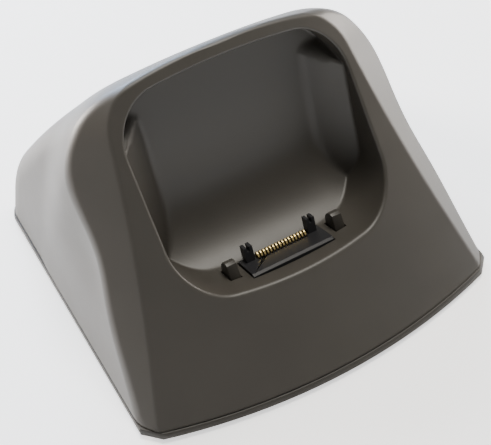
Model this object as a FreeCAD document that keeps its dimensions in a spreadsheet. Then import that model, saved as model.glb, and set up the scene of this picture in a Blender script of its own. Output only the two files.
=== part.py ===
"""Desktop charging cradle for a handheld organiser, as a parametric assembly.

Frame: X to the right, Y to the back, Z up. The origin is on the table, under the middle of
the cradle's length and width. The docking parts are drawn in a dock frame of their own: X to
the right, Y along the pocket floor towards the back wall, Z up along the handheld.
"""
import FreeCAD, Part
import math
import os
import Sketcher
from FreeCAD import Placement, Rotation, Vector

SIZES = (
    # outer form
    ("base_width", 113.0), ("base_depth", 107.0), ("housing_height", 73.7), ("foot_proud", 1.5),
    ("face_angle", 48.2), ("face_bow", 9.0),
    ("waist_width", 103.5), ("waist_rise", 40.0), ("hood_corner", 28.5), ("crown_radius", 87.0),
    ("hood_run", 64.6), ("back_angle", 53.0), ("rear_radius", 24.0), ("edge_radius", 8.0),
    ("wall", 2.5),
    # outline of the flat face: half-widths, and runs up the slope from the underside
    ("bevel_angle", 33.5), ("crease_low_half", 63.3), ("crease_low_run", -39.2),
    ("crease_mid_half", 44.0), ("crease_mid_run", 34.4), ("crease_high_half", 36.4),
    ("crease_high_run", 74.7), ("crease_bend_half", 32.2), ("crease_bend_run", 85.7),
    ("crease_brow_half", 21.4), ("crease_brow_run", 93.5), ("crease_crown", 95.0),
    # base cover
    ("cover_thick", 1.2), ("parting_gap", 0.4), ("rim_rise", 2.5), ("rim_thick", 1.6),
    ("rim_clear", 0.2),
    # pocket, in the dock frame
    ("device_lean", 68.0), ("dock_run", 19.05), ("dock_rise", 24.8),
    ("pocket_width", 66.0), ("pocket_depth", 30.4), ("pocket_top", 55.9), ("floor_sag", 0.9),
    ("floor_radius", 150.0), ("lip_corner", 13.0), ("brow_corner", 12.0), ("brow_radius", 160.0),
    ("heel_radius", 23.0), ("heel_rise", 20.0),
    ("cheek_width", 8.6), ("cheek_depth", 8.7), ("cheek_back_top", 46.6), ("cheek_side_top", 40.6),
    ("cheek_lead_in", 35.0),
    # docking connector, in the dock frame
    ("block_width", 25.4), ("block_front", 8.4), ("block_back", 17.7), ("block_top", 0.35),
    ("block_foot", 8.5), ("flange_width", 28.4), ("flange_margin", 1.1), ("flange_thick", 1.45),
    ("tower_inner", 8.6), ("tower_outer", 11.25), ("tower_front", 15.0), ("tower_back", 17.5),
    ("tower_top", 5.0), ("notch_width", 0.8), ("notch_deep", 1.5),
    ("contact_count", 16), ("contact_pitch", 1.0), ("contact_width", 0.5), ("slot_width", 0.7),
    ("slot_front", 14.3), ("slot_back", 17.35), ("leaf_thick", 0.2), ("leaf_back", 16.8),
    ("leaf_front", 14.55), ("leaf_top", 2.05), ("leaf_gap", 0.05),
    # rocker, its pin and its spring, in the dock frame
    ("rocker_front", 6.4), ("rocker_back", 20.0), ("rocker_top", 4.2), ("rocker_thick", 2.8),
    ("rocker_width", 41.4), ("window_clear", 0.1), ("slot_clear", 0.5), ("side_clear", 0.3),
    ("post_inner", 15.2), ("post_width", 3.0), ("post_front", 11.3), ("post_back", 16.8),
    ("post_top", 4.5), ("post_lean", 0.8),
    ("ear_thick", 2.0), ("ear_half", 2.6), ("pin_run", 13.0), ("pin_drop", 12.0),
    ("pin_radius", 1.25), ("pin_clear", 0.05), ("pin_length", 51.0), ("pillar_thick", 3.2),
    ("pillar_half", 3.8), ("pillar_gap", 1.2), ("wire_radius", 0.3), ("coil_turns", 2.5),
    # dock board and flat cable
    ("dock_board_width", 30.0), ("dock_board_thick", 1.1), ("board_gap", 0.05),
    ("header_width", 15.0), ("header_deep", 4.0), ("header_high", 2.0), ("header_slot", 1.0),
    ("cable_width", 12.0), ("cable_thick", 0.3),
    # main board and what is on it
    ("board_width", 72.0), ("board_front", 58.5), ("board_back", 99.5), ("board_rise", 8.6),
    ("board_thick", 1.6), ("standoff_x", 33.0), ("standoff_inset", 3.0), ("standoff_radius", 2.8),
    ("jack_x", 18.0), ("jack_width", 9.0), ("jack_length", 10.6), ("jack_high", 9.4),
    ("jack_axis", 5.0), ("nose_radius", 4.0), ("nose_length", 3.9), ("jack_bore", 2.85),
    ("jack_pin", 1.05), ("jack_face", 97.6), ("usb_x", -14.0), ("usb_width", 7.8),
    ("usb_high", 4.0), ("usb_length", 9.0), ("usb_face", 103.0), ("usb_skin", 0.4),
    ("tongue_thick", 0.9), ("port_clear", 0.3),
    # ballast, feet and screws
    ("ballast_width", 56.0), ("ballast_front", 59.0), ("ballast_length", 38.0),
    ("ballast_thick", 4.0), ("peg_x", 20.0), ("peg_radius", 2.0), ("peg_clear", 0.15),
    ("foot_radius", 4.5), ("foot_seat", 0.6), ("foot_clear", 0.2), ("foot_x", 40.0),
    ("foot_front", 13.0), ("foot_rear", 99.0),
    ("screw_front_x", 42.0), ("screw_front", 23.5), ("screw_rear_x", 40.0), ("screw_rear", 88.5),
    ("screw_radius", 1.2), ("pilot_clear", 0.05), ("head_radius", 2.6), ("head_high", 2.0),
    ("shank_length", 9.0), ("column_radius", 4.2), ("column_rise", 3.0), ("boss_radius", 3.4),
    ("seat_gap", 0.1), ("board_screw_radius", 1.1), ("board_head_radius", 2.2),
    ("board_head_high", 1.5), ("board_shank", 5.0),
)

DOC = FreeCAD.newDocument("charging_cradle")
NODES = []


def make_sheet():
    """Put every driving size in the spreadsheet, under its alias."""
    sheet = DOC.addObject("Spreadsheet::Sheet", "Sizes")
    for row, (alias, value) in enumerate(SIZES, start=1):
        sheet.set(f"A{row}", alias)
        sheet.set(f"B{row}", str(value))
        sheet.setAlias(f"B{row}", alias)
    DOC.recompute()
    return sheet


SHEET = make_sheet()


def size(alias):
    return float(SHEET.get(alias))


def ref(alias):
    """The spreadsheet cell of a size, as an expression reads it."""
    return f"Sizes.{alias}"


def node(thing, label, placement=None):
    """Keep an object as a sub-part: its label names its file."""
    thing.Label = label
    if placement is not None:
        thing.Placement = placement
    NODES.append(thing)
    return thing


# ---------------------------------------------------------------- places and frames

FRONT = -size("base_depth") / 2
FLOOR = size("foot_proud")
FACE = math.radians(size("face_angle"))
DOCK = Placement(Vector(0, FRONT + size("dock_run"), FLOOR + size("dock_rise")),
                 Rotation(Vector(1, 0, 0), size("device_lean") - 90))
FRONT_REF = "-Sizes.base_depth / 2"
BOARD_TOP = "(Sizes.foot_proud + Sizes.board_rise + Sizes.board_thick)"


# ---------------------------------------------------------------- parametric helpers

def bind_base(thing, corner):
    for axis, expression in zip("xyz", corner):
        thing.setExpression(f"Placement.Base.{axis}", expression)


def box(name, corner, sides):
    """A box from its low corner and its three sides, all expressions."""
    thing = DOC.addObject("Part::Box", name)
    bind_base(thing, corner)
    for side, expression in zip(("Length", "Width", "Height"), sides):
        thing.setExpression(side, expression)
    return thing


def rod(name, foot, radius, height, axis="z"):
    """A cylinder that starts at foot and runs along an axis."""
    thing = DOC.addObject("Part::Cylinder", name)
    turns = {"x": Rotation(Vector(0, 1, 0), 90), "y": Rotation(Vector(1, 0, 0), -90),
             "z": Rotation()}
    thing.Placement = Placement(Vector(), turns[axis])
    bind_base(thing, foot)
    thing.setExpression("Radius", radius)
    thing.setExpression("Height", height)
    return thing


def fuse(name, pieces):
    thing = DOC.addObject("Part::MultiFuse", name)
    thing.Shapes = pieces
    return thing


def cut(name, base, tool):
    thing = DOC.addObject("Part::Cut", name)
    thing.Base = base
    thing.Tool = tool
    return thing


def group(name, pieces):
    thing = DOC.addObject("Part::Compound", name)
    thing.Links = pieces
    return thing


def new_body(label):
    return DOC.addObject("PartDesign::Body", label)


def plane(body, role):
    return next(item for item in body.Origin.OriginFeatures if item.Role == role)


def profile(body, name, role, corners, offset=None):
    """A closed sketch on an origin plane: each corner is a pair of expressions."""
    sketch = body.newObject("Sketcher::SketchObject", name)
    sketch.AttachmentSupport = [(plane(body, role), "")]
    sketch.MapMode = "FlatFace"
    if offset is not None:
        sketch.setExpression("AttachmentOffset.Base.z", offset)
    count = len(corners)
    angle = [2 * math.pi * index / count for index in range(count + 1)]
    ring = [Vector(10 * math.cos(turn), 10 * math.sin(turn), 0) for turn in angle]
    for start, end in zip(ring, ring[1:]):
        sketch.addGeometry(Part.LineSegment(start, end), False)
    for index in range(count):
        sketch.addConstraint(Sketcher.Constraint("Coincident", index, 2, (index + 1) % count, 1))
    for index, (across, along) in enumerate(corners):
        for kind, expression, start in (("DistanceX", across, ring[index].x),
                                        ("DistanceY", along, ring[index].y)):
            place = sketch.addConstraint(Sketcher.Constraint(kind, -1, 1, index, 1, start))
            sketch.setExpression(f"Constraints[{place}]", expression)
    return sketch


def round_profile(body, name, role, centre, radius, offset=None):
    """A circle on an origin plane, from expressions."""
    sketch = body.newObject("Sketcher::SketchObject", name)
    sketch.AttachmentSupport = [(plane(body, role), "")]
    sketch.MapMode = "FlatFace"
    if offset is not None:
        sketch.setExpression("AttachmentOffset.Base.z", offset)
    sketch.addGeometry(Part.Circle(Vector(1, 1, 0), Vector(0, 0, 1), 1), False)
    facts = (("DistanceX", (-1, 1, 0, 3, 1.0), centre[0]), ("DistanceY", (-1, 1, 0, 3, 1.0), centre[1]),
             ("Radius", (0, 1.0), radius))
    for kind, where, expression in facts:
        place = sketch.addConstraint(Sketcher.Constraint(kind, *where))
        sketch.setExpression(f"Constraints[{place}]", expression)
    return sketch


def pad(body, sketch, length, symmetric=False):
    feature = body.newObject("PartDesign::Pad", sketch.Name + "_pad")
    feature.Profile = sketch
    feature.setExpression("Length", length)
    feature.Midplane = symmetric
    return feature


def pocket_all(body, sketch):
    """Cut a sketch right through the body, both ways."""
    feature = body.newObject("PartDesign::Pocket", sketch.Name + "_cut")
    feature.Profile = sketch
    feature.Type = "ThroughAll"
    feature.Midplane = True
    return feature


# ---------------------------------------------------------------- outer form

def tangent_cap(half, apex, big, small, way):
    """A crown arc and its two corner arcs, from the right side to the left side.

    half is the half-width, apex the crown's middle, way +1 for a cap on top and -1 for one
    underneath. Returns the three edges and the height at which the corners leave the sides.
    """
    middle = apex - way * big
    reach = math.sqrt((big - small) ** 2 - (half - small) ** 2)
    side = middle + way * reach
    scale = big / (big - small)
    meet = ((half - small) * scale, middle + way * reach * scale)
    turn = 0.5 * math.atan2(meet[1] - side, meet[0] - (half - small))
    bend = (half - small + small * math.cos(turn), side + small * math.sin(turn))
    point = [(half, side), bend, meet, (0.0, apex), (-meet[0], meet[1]), (-bend[0], bend[1]),
             (-half, side)]
    return [point[first:first + 3] for first in (0, 2, 4)], side


def arc(points, place):
    return Part.Arc(*[place(*point) for point in points]).toShape()


def closed_solid(edges, along):
    wire = Part.Wire(Part.__sortEdges__(edges))
    return Part.Face(wire).extrude(along)


def outline_solid(inset, low):
    """Front view of the housing: flared sides, round corners and a crowned top."""
    back, front = size("base_depth"), -2 * size("base_depth")
    half = size("waist_width") / 2
    drop = (size("base_width") - size("waist_width")) / 2
    flare = (size("waist_rise") ** 2 + drop ** 2) / (2 * drop)
    waist = FLOOR + size("waist_rise")

    def at(across, up):
        return Vector(across, front, up)

    def side(up):
        return half + flare - math.sqrt((flare + inset) ** 2 - (waist - up) ** 2)

    cap, corner = tangent_cap(half - inset, FLOOR + size("housing_height") - inset,
                              size("crown_radius") - inset, size("hood_corner") - inset, 1)
    edges = [arc(points, at) for points in cap]
    middle = (FLOOR + waist) / 2
    for sign in (1, -1):
        edges.append(arc([(sign * side(up), up) for up in (FLOOR, middle, waist)], at))
        edges.append(Part.makeLine(at(sign * side(waist), waist),
                                   at(sign * (half - inset), corner)))
        edges.append(Part.makeLine(at(sign * side(FLOOR), low), at(sign * side(FLOOR), FLOOR)))
    edges.append(Part.makeLine(at(-side(FLOOR), low), at(side(FLOOR), low)))
    return closed_solid(edges, Vector(0, back - front, 0))


def side_solid(inset, low):
    """Side view of the housing: sloping back and rounded rear; the front is left long."""
    back = math.radians(size("back_angle"))
    out = Vector(0, math.sin(back), math.cos(back))
    brow = Vector(0, FRONT + size("hood_run"), FLOOR + size("housing_height"))
    radius = size("rear_radius")
    hub_y = -FRONT - radius
    hub_z = (out.dot(brow) - radius - out.y * hub_y) / out.z
    hub = Vector(0, hub_y, hub_z)
    middle = (math.pi / 2 - back) / 2
    bend = [hub + out * (radius - inset),
            hub + Vector(0, math.cos(middle), math.sin(middle)) * (radius - inset),
            hub + Vector(0, radius - inset, 0)]
    high = brow.z + size("base_depth")
    crest = bend[0] + Vector(0, -math.cos(back), math.sin(back)) * ((high - bend[0].z) / math.sin(back))
    far = Vector(0, 3 * FRONT, high)
    edges = [Part.Arc(*bend).toShape()]
    for start, end in ((bend[2], Vector(0, bend[2].y, low)), (Vector(0, bend[2].y, low), Vector(0, far.y, low)),
                       (Vector(0, far.y, low), far), (far, crest), (crest, bend[0])):
        edges.append(Part.makeLine(start, end))
    solid = closed_solid(edges, Vector(4 * size("base_width"), 0, 0))
    solid.translate(Vector(-2 * size("base_width"), 0, 0))
    return solid


def face_solid(inset, low):
    """Everything behind the bowed face, which is one arc moved up the slope."""
    half, bow = size("base_width") / 2, size("face_bow")
    radius = (half ** 2 + bow ** 2) / (2 * bow)
    slope = Vector(0, math.cos(FACE), math.sin(FACE))
    start = FRONT + inset / math.sin(FACE) + (low - FLOOR) / math.tan(FACE)
    wide = 1.6 * half
    sag = radius - math.sqrt(radius ** 2 - wide ** 2)
    back = -4 * FRONT + start
    front = Part.Arc(Vector(-wide, start + sag, low), Vector(0, start, low),
                     Vector(wide, start + sag, low)).toShape()
    rest = Part.makePolygon([Vector(wide, start + sag, low), Vector(wide, back, low),
                             Vector(-wide, back, low), Vector(-wide, start + sag, low)])
    return closed_solid([front] + rest.Edges, slope * (3 * size("housing_height")))


def crease(name):
    """A point of the flat face's outline: its half-width and its run up the slope."""
    return size(f"crease_{name}_half"), size(f"crease_{name}_run")


def bow_sag(across):
    """How far the bowed face stands behind its middle, at a distance to the side."""
    half, bow = size("base_width") / 2, size("face_bow")
    radius = (half ** 2 + bow ** 2) / (2 * bow)
    return radius - math.sqrt(radius ** 2 - across ** 2)


def bevel_solid(inset):
    """A taper that opens towards the back, so that its sides bevel the face's edges."""
    tilt = math.radians(size("bevel_angle"))

    def section(depth):
        grow = depth / math.tan(tilt) - inset / math.sin(tilt)

        def at(across, up):
            run = up * math.cos(FACE) + depth * math.sin(FACE)
            rise = up * math.sin(FACE) - depth * math.cos(FACE)
            return Vector(across, FRONT + run, FLOOR + rise)

        moves = {"low": (1, 0), "mid": (1, 0), "high": (1, 0), "bend": (0.7, 0.7), "brow": (0.2, 1)}
        right = []
        for name, (aside, ahead) in moves.items():
            across, up = crease(name)
            behind = bow_sag(across)
            wider = grow - behind * math.sin(FACE) / math.tan(tilt)
            right.append((across + aside * wider, up + behind * math.cos(FACE) + ahead * wider))
        left = [(-across, up) for across, up in right]
        low = right[0][1]
        edges = [arc(right[0:3], at), arc(right[2:5], at),
                 arc([right[4], (0.0, size("crease_crown") + grow), left[4]], at),
                 arc(left[2:5][::-1], at), arc(left[0:3][::-1], at),
                 Part.makeLine(at(left[0][0], low), at(right[0][0], low))]
        return Part.Wire(edges)

    return Part.makeLoft([section(-1.0), section(1.2 * size("base_depth"))], True, True)


def back_edges(solid, low):
    """The edge that runs round the back of the hood, between the sides and the sloping back."""
    found = []
    for edge in solid.Edges:
        middle = edge.valueAt((edge.FirstParameter + edge.LastParameter) / 2)
        straight_back = abs(edge.tangentAt(edge.FirstParameter).y) > 0.999
        if middle.y > FRONT / 2 and middle.z > low + 1 and not straight_back:
            found.append(edge)
    return found


def blank(inset):
    """The housing's outer form, or the form a wall further in."""
    low = FLOOR - size("housing_height") / 2
    form = outline_solid(inset, low).common(side_solid(inset, low))
    form = form.makeFillet(size("edge_radius") - inset, back_edges(form, low))
    return form.common(face_solid(inset, low)).common(bevel_solid(inset))


def slab(low, high):
    reach = 2 * size("base_depth")
    return Part.makeBox(2 * reach, 2 * reach, high - low, Vector(-reach, -reach, low))


# ---------------------------------------------------------------- pocket

def cheek(grow, sign):
    """The chamfered guide in a back corner of the pocket, cut off by a sloping lead-in."""
    half, back = size("pocket_width") / 2, size("pocket_depth")
    shift = grow * math.sqrt(2)
    on_back = Vector(half - size("cheek_width") + shift, back, 0)
    on_side = Vector(half, back - size("cheek_depth") + shift, 0)
    along = (on_side - on_back).normalize()
    first, last = on_back - along * 20, on_side + along * 20
    corner = Vector(last.x, first.y, 0)
    prism = Part.Face(Part.makePolygon([first, last, corner, first])).extrude(Vector(0, 0, 90))
    prism.translate(Vector(0, 0, -20))
    start = Vector(on_back.x, on_back.y, size("cheek_back_top") - grow)
    end = Vector(on_side.x, on_side.y, size("cheek_side_top") - grow)
    inward = Vector(along.y, -along.x, 0) * -1
    rise = inward * math.cos(math.radians(size("cheek_lead_in")))
    rise.z = math.sin(math.radians(size("cheek_lead_in")))
    run = (end - start).normalize()
    ramp = [start - run * 40 - rise * 40, end + run * 40 - rise * 40,
            end + run * 40 + rise * 40, start - run * 40 + rise * 40]
    up = run.cross(rise)
    up = up * (-60 if up.z < 0 else 60)
    above = Part.Face(Part.makePolygon(ramp + ramp[:1])).extrude(up)
    solid = prism.cut(above)
    return solid if sign > 0 else solid.mirror(Vector(0, 0, 0), Vector(1, 0, 0))


def pocket_solid(grow):
    """The handheld's bay in the dock frame, or the form a wall further out."""
    half, mouth = size("pocket_width") / 2 + grow, -50.0

    def at(across, up):
        return Vector(across, mouth, up)

    low, low_side = tangent_cap(half, -size("floor_sag") - grow, size("floor_radius") + grow,
                                size("lip_corner") + grow, -1)
    high, high_side = tangent_cap(half, size("pocket_top") + grow, size("brow_radius") + grow,
                                  size("brow_corner") + grow, 1)
    edges = [arc(points, at) for points in low + high]
    edges += [Part.makeLine(at(sign * half, low_side), at(sign * half, high_side))
              for sign in (1, -1)]
    back = size("pocket_depth") + grow
    bay = closed_solid(edges, Vector(0, back - mouth, 0))
    radius, rise = size("heel_radius") + grow, size("heel_rise")
    turn = math.pi / 4
    left = -2 * size("pocket_width")

    def beside(along, up):
        return Vector(left, along, up)

    hub = back - radius
    heel = arc([(back, rise), (hub + radius * math.cos(turn), rise - radius * math.sin(turn)),
                (hub, rise - radius)], beside)
    rest = Part.makePolygon([beside(hub, rise - radius), beside(mouth, rise - radius),
                             beside(mouth, 90), beside(back, 90), beside(back, rise)])
    bay = bay.common(closed_solid([heel] + rest.Edges, Vector(-2 * left, 0, 0)))
    return bay.cut(cheek(grow, 1)).cut(cheek(grow, -1))


def floor_slots():
    """Openings in the pocket floor for the connector block and the two posts."""
    gap, side = size("slot_clear"), size("side_clear")
    deep = size("rocker_top")
    half = size("block_width") / 2 + side
    tools = [Part.makeBox(2 * half, size("block_back") - size("block_front") + 2 * gap, 2 * deep,
                          Vector(-half, size("block_front") - gap, -deep))]
    for left in (size("post_inner") - side, -size("post_inner") - size("post_width") - side):
        tools.append(Part.makeBox(size("post_width") + 2 * side,
                                  size("post_back") - size("post_front") + 2 * gap, 2 * deep,
                                  Vector(left, size("post_front") - gap, -deep)))
    return tools


# ---------------------------------------------------------------- screw and foot places

def screw_places():
    """Each base screw's x and y."""
    return [(sign * size(f"screw_{end}_x"), FRONT + size(f"screw_{end}"))
            for end in ("front", "rear") for sign in (-1, 1)]


def standoff_places():
    near, far = size("board_front") + size("standoff_inset"), size("board_back") - size("standoff_inset")
    return [(sign * size("standoff_x"), FRONT + run) for run in (near, far) for sign in (-1, 1)]


def foot_places():
    return [(sign * size("foot_x"), FRONT + size(f"foot_{end}"))
            for end in ("front", "rear") for sign in (-1, 1)]


def pillar_tool(radius, place, low, high):
    return Part.makeCylinder(radius, high - low, Vector(place[0], place[1], low))


# ---------------------------------------------------------------- housing and cover

COVER_TOP = FLOOR + size("cover_thick")
BOSS_LOW = COVER_TOP + size("column_rise") + size("seat_gap")


def port_tools():
    """Openings in the rear wall for the power inlet and the sync socket."""
    board = FLOOR + size("board_rise") + size("board_thick")
    gap = size("port_clear")
    inlet = Part.makeCylinder(size("nose_radius") + gap, 40,
                              Vector(size("jack_x"), FRONT + size("jack_face"), board + size("jack_axis")),
                              Vector(0, 1, 0))
    half = size("usb_width") / 2 + gap
    sync = Part.makeBox(2 * half, 40, size("usb_high") + 2 * gap,
                        Vector(size("usb_x") - half, FRONT + size("usb_face") - size("usb_length"),
                               board - gap))
    return [inlet, sync]


def top_housing():
    outer = blank(0)
    bay = pocket_solid(0)
    lining = pocket_solid(size("wall"))
    for form in (bay, lining):
        form.Placement = DOCK
    high = FLOOR + 2 * size("housing_height")
    skin = outer.common(slab(COVER_TOP + size("parting_gap"), high))
    hollow = blank(size("wall")).cut(lining)
    shell = skin.cut(hollow)
    bosses = [pillar_tool(size("boss_radius"), place, BOSS_LOW, high).common(outer)
              for place in screw_places()]
    pilots = [pillar_tool(size("screw_radius") + size("pilot_clear"), place, BOSS_LOW - 1,
                          COVER_TOP + size("column_rise") + size("shank_length"))
              for place in screw_places()]
    slots = floor_slots()
    for tool in slots:
        tool.Placement = DOCK.multiply(tool.Placement)
    shape = shell.fuse(bosses).cut([bay] + pilots + slots + port_tools())
    return shape.removeSplitter()


def base_cover():
    plate = blank(0).common(slab(FLOOR, COVER_TOP))
    clear = size("wall") + size("rim_clear")
    band = slab(COVER_TOP, COVER_TOP + size("rim_rise"))
    rim = blank(clear).common(band).cut(blank(clear + size("rim_thick")))
    columns = [pillar_tool(size("column_radius"), place, COVER_TOP, COVER_TOP + size("column_rise"))
               for place in screw_places()]
    posts = [pillar_tool(size("standoff_radius"), place, COVER_TOP, FLOOR + size("board_rise"))
             for place in standoff_places()]
    middle = FRONT + size("ballast_front") + size("ballast_length") / 2
    pegs = [pillar_tool(size("peg_radius"), (sign * size("peg_x"), middle), COVER_TOP,
                        COVER_TOP + size("ballast_thick") - 1) for sign in (-1, 1)]
    pin = DOCK.multVec(Vector(0, size("pin_run"), -size("pin_drop")))
    half, thick = size("pillar_half"), size("pillar_thick")
    inner = size("rocker_width") / 2 + size("pillar_gap")
    pillars = [Part.makeBox(thick, 2 * half, pin.z + half - COVER_TOP,
                            Vector(left, pin.y - half, COVER_TOP)) for left in (inner, -inner - thick)]
    bore = Part.makeCylinder(size("pin_radius") + size("pin_clear"), 4 * inner,
                             Vector(-2 * inner, pin.y, pin.z), Vector(1, 0, 0))
    head_seat = COVER_TOP + size("column_rise") - 2.1
    wells = []
    for place in screw_places():
        wells.append(pillar_tool(size("head_radius") + 0.4, place, FLOOR - 1, head_seat))
        wells.append(pillar_tool(size("screw_radius") + 0.4, place, FLOOR, BOSS_LOW))
    seats = [pillar_tool(size("foot_radius") + size("foot_clear"), place, FLOOR - 1,
                         FLOOR + size("foot_seat")) for place in foot_places()]
    threads = [pillar_tool(size("board_screw_radius") + size("pilot_clear"), place, COVER_TOP + 0.5,
                           FLOOR + size("board_rise") + 1) for place in standoff_places()]
    shape = plate.fuse([rim] + columns + posts + pegs + pillars)
    return shape.cut([bore] + wells + seats + threads).removeSplitter()


def free_form(label, shape):
    """A sub-part whose surfaces are built directly from the sheet's sizes."""
    thing = DOC.addObject("Part::Feature", label)
    thing.Shape = shape
    return node(thing, label, Placement())


# ---------------------------------------------------------------- docking connector

def dock_connector():
    body = new_body("dock_connector")
    block = profile(body, "block", "YZ_Plane", [
        (ref("block_front"), "-Sizes.block_foot"), (ref("block_back"), "-Sizes.block_foot"),
        (ref("block_back"), ref("block_top")), (ref("block_front"), ref("block_top"))])
    pad(body, block, ref("block_width"), symmetric=True)
    front, back = "Sizes.block_front - Sizes.flange_margin", "Sizes.block_back + Sizes.flange_margin"
    top = "Sizes.flange_thick - Sizes.block_foot"
    flange = profile(body, "flange", "YZ_Plane", [
        (front, "-Sizes.block_foot"), (back, "-Sizes.block_foot"), (back, top), (front, top)])
    pad(body, flange, ref("flange_width"), symmetric=True)
    middle = "(Sizes.tower_inner + Sizes.tower_outer) / 2"
    for side, sign in (("left", "-"), ("right", "")):
        near, far = f"{middle} - Sizes.notch_width / 2", f"{middle} + Sizes.notch_width / 2"
        root = "Sizes.tower_top - Sizes.notch_deep"
        fork = [(ref("tower_inner"), "-Sizes.flange_thick"), (ref("tower_outer"), "-Sizes.flange_thick"),
                (ref("tower_outer"), ref("tower_top")), (far, ref("tower_top")), (far, root),
                (near, root), (near, ref("tower_top")), (ref("tower_inner"), ref("tower_top"))]
        tower = profile(body, f"tower_{side}", "XZ_Plane",
                        [(f"{sign}({across})", up) for across, up in fork], "-Sizes.tower_back")
        pad(body, tower, "Sizes.tower_back - Sizes.tower_front")
    first = "-(Sizes.contact_count - 1) * Sizes.contact_pitch / 2"
    left, right = f"{first} - Sizes.slot_width / 2", f"{first} + Sizes.slot_width / 2"
    slot = profile(body, "contact_slot", "XY_Plane", [
        (left, ref("slot_front")), (right, ref("slot_front")), (right, ref("slot_back")),
        (left, ref("slot_back"))])
    DOC.recompute()
    opening = pocket_all(body, slot)
    DOC.recompute()
    row = body.newObject("PartDesign::LinearPattern", "contact_slots")
    row.Originals = [opening]
    row.Direction = (plane(body, "X_Axis"), [""])
    row.setExpression("Length", "(Sizes.contact_count - 1) * Sizes.contact_pitch")
    row.setExpression("Occurrences", ref("contact_count"))
    body.Tip = row
    return node(body, "dock_connector", DOCK)


def contact(index):
    """One bent leaf: a spine up the back of its slot, and a hook over the block's top."""
    label = f"contact_{index + 1:02d}"
    body = new_body(label)
    back, front, top, thick = ref("leaf_back"), ref("leaf_front"), ref("leaf_top"), ref("leaf_thick")
    middle = f"({back} + {front}) / 2"
    foot = "Sizes.leaf_gap - Sizes.block_foot"
    outside = [(back, foot), (back, f"{top} - 1.15"), (f"{back} - 0.45", f"{top} - 0.3"),
               (middle, top), (f"{front} + 0.4", f"{top} - 0.3"), (front, f"{top} - 1.15"),
               (f"{front} + 0.25", f"{top} - 1.95")]
    inside = [(f"{front} + 0.45", f"{top} - 1.9"), (f"{front} + {thick}", f"{top} - 1.15"),
              (f"{front} + 0.53", f"{top} - 0.48"), (middle, f"{top} - {thick}"),
              (f"{back} - 0.58", f"{top} - 0.48"), (f"{back} - {thick}", f"{top} - 1.2"),
              (f"{back} - {thick}", foot)]
    leaf = profile(body, f"leaf_{index + 1:02d}", "YZ_Plane", outside + inside)
    pad(body, leaf, ref("contact_width"), symmetric=True)
    across = (index - (size("contact_count") - 1) / 2) * size("contact_pitch")
    return node(body, label, DOCK.multiply(Placement(Vector(across, 0, 0), Rotation())))


def dock_rocker():
    """The carrier under the pocket floor, with its posts and its pivot ears."""
    body = new_body("dock_rocker")
    under = "-Sizes.rocker_top - Sizes.rocker_thick"
    plate = profile(body, "plate", "YZ_Plane", [
        (ref("rocker_front"), under), (ref("rocker_back"), under),
        (ref("rocker_back"), "-Sizes.rocker_top"), (ref("rocker_front"), "-Sizes.rocker_top")])
    pad(body, plate, ref("rocker_width"), symmetric=True)
    post = [("post_front", under), ("post_front", "0"), ("post_front + Sizes.post_lean", "Sizes.post_top - 0.5"),
            ("post_front + 1.9", ref("post_top")), ("post_back - 2.0", "Sizes.post_top - 0.3"),
            ("post_back - 0.6", "Sizes.post_top - 1.5"), ("post_back", "Sizes.post_top - 3.3"),
            ("post_back", under)]
    outline = [("Sizes." + along, up) for along, up in post]
    ear_low = "-Sizes.pin_drop - Sizes.ear_half"
    ear = [("Sizes.pin_run - Sizes.ear_half", ear_low), ("Sizes.pin_run + Sizes.ear_half", ear_low),
           ("Sizes.pin_run + Sizes.ear_half", under), ("Sizes.pin_run - Sizes.ear_half", under)]
    offsets = {"left": ("-Sizes.post_inner - Sizes.post_width", "-Sizes.rocker_width / 2"),
               "right": (ref("post_inner"), "Sizes.rocker_width / 2 - Sizes.ear_thick")}
    for side, (post_at, ear_at) in offsets.items():
        pad(body, profile(body, f"post_{side}", "YZ_Plane", outline, post_at), ref("post_width"))
        pad(body, profile(body, f"ear_{side}", "YZ_Plane", ear, ear_at), ref("ear_thick"))
    half = "Sizes.block_width / 2 + Sizes.window_clear"
    front, back = "Sizes.block_front - Sizes.window_clear", "Sizes.block_back + Sizes.window_clear"
    window = profile(body, "window", "XY_Plane", [
        (f"-({half})", front), (half, front), (half, back), (f"-({half})", back)])
    DOC.recompute()
    pocket_all(body, window)
    bore = round_profile(body, "pivot_bore", "YZ_Plane", (ref("pin_run"), "-Sizes.pin_drop"),
                         "Sizes.pin_radius + Sizes.pin_clear")
    body.Tip = pocket_all(body, bore)
    return node(body, "dock_rocker", DOCK)


def rocker_pin():
    pin = rod("rocker_pin", ("0", "0", "0"), ref("pin_radius"), ref("pin_length"), "x")
    across = Placement(Vector(-size("pin_length") / 2, size("pin_run"), -size("pin_drop")),
                       Rotation(Vector(0, 1, 0), 90))
    for axis in "xyz":
        pin.setExpression(f"Placement.Base.{axis}", None)
    return node(pin, "rocker_pin", DOCK.multiply(across))


def rocker_spring():
    """A torsion spring round the pin, inside the right ear, with two short legs."""
    wire, turns = size("wire_radius"), size("coil_turns")
    coil = size("pin_radius") + 0.35 + wire
    pitch = 2.3 * wire
    helix = Part.makeHelix(pitch, turns * pitch, coil)
    ring = Part.Wire(Part.makeCircle(wire, Vector(coil, 0, 0), Vector(0, 1, 0)))
    spring = Part.Wire(helix.Edges).makePipeShell([ring], True, True)
    leg = 3.0
    end = -1 if turns % 1 else 1
    lower = Part.makeCylinder(wire, leg, Vector(coil, 0, 0), Vector(0, -1, 0))
    upper = Part.makeCylinder(wire, leg, Vector(end * coil, 0, turns * pitch), Vector(0, end, 0))
    shape = spring.fuse([lower, upper])
    inner_ear = size("rocker_width") / 2 - size("ear_thick")
    start = inner_ear - turns * pitch - 2 * wire - 0.3
    across = Placement(Vector(start, size("pin_run"), -size("pin_drop")),
                       Rotation(Vector(0, 1, 0), 90))
    thing = DOC.addObject("Part::Feature", "rocker_spring")
    thing.Shape = shape
    return node(thing, "rocker_spring", DOCK.multiply(across))


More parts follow.
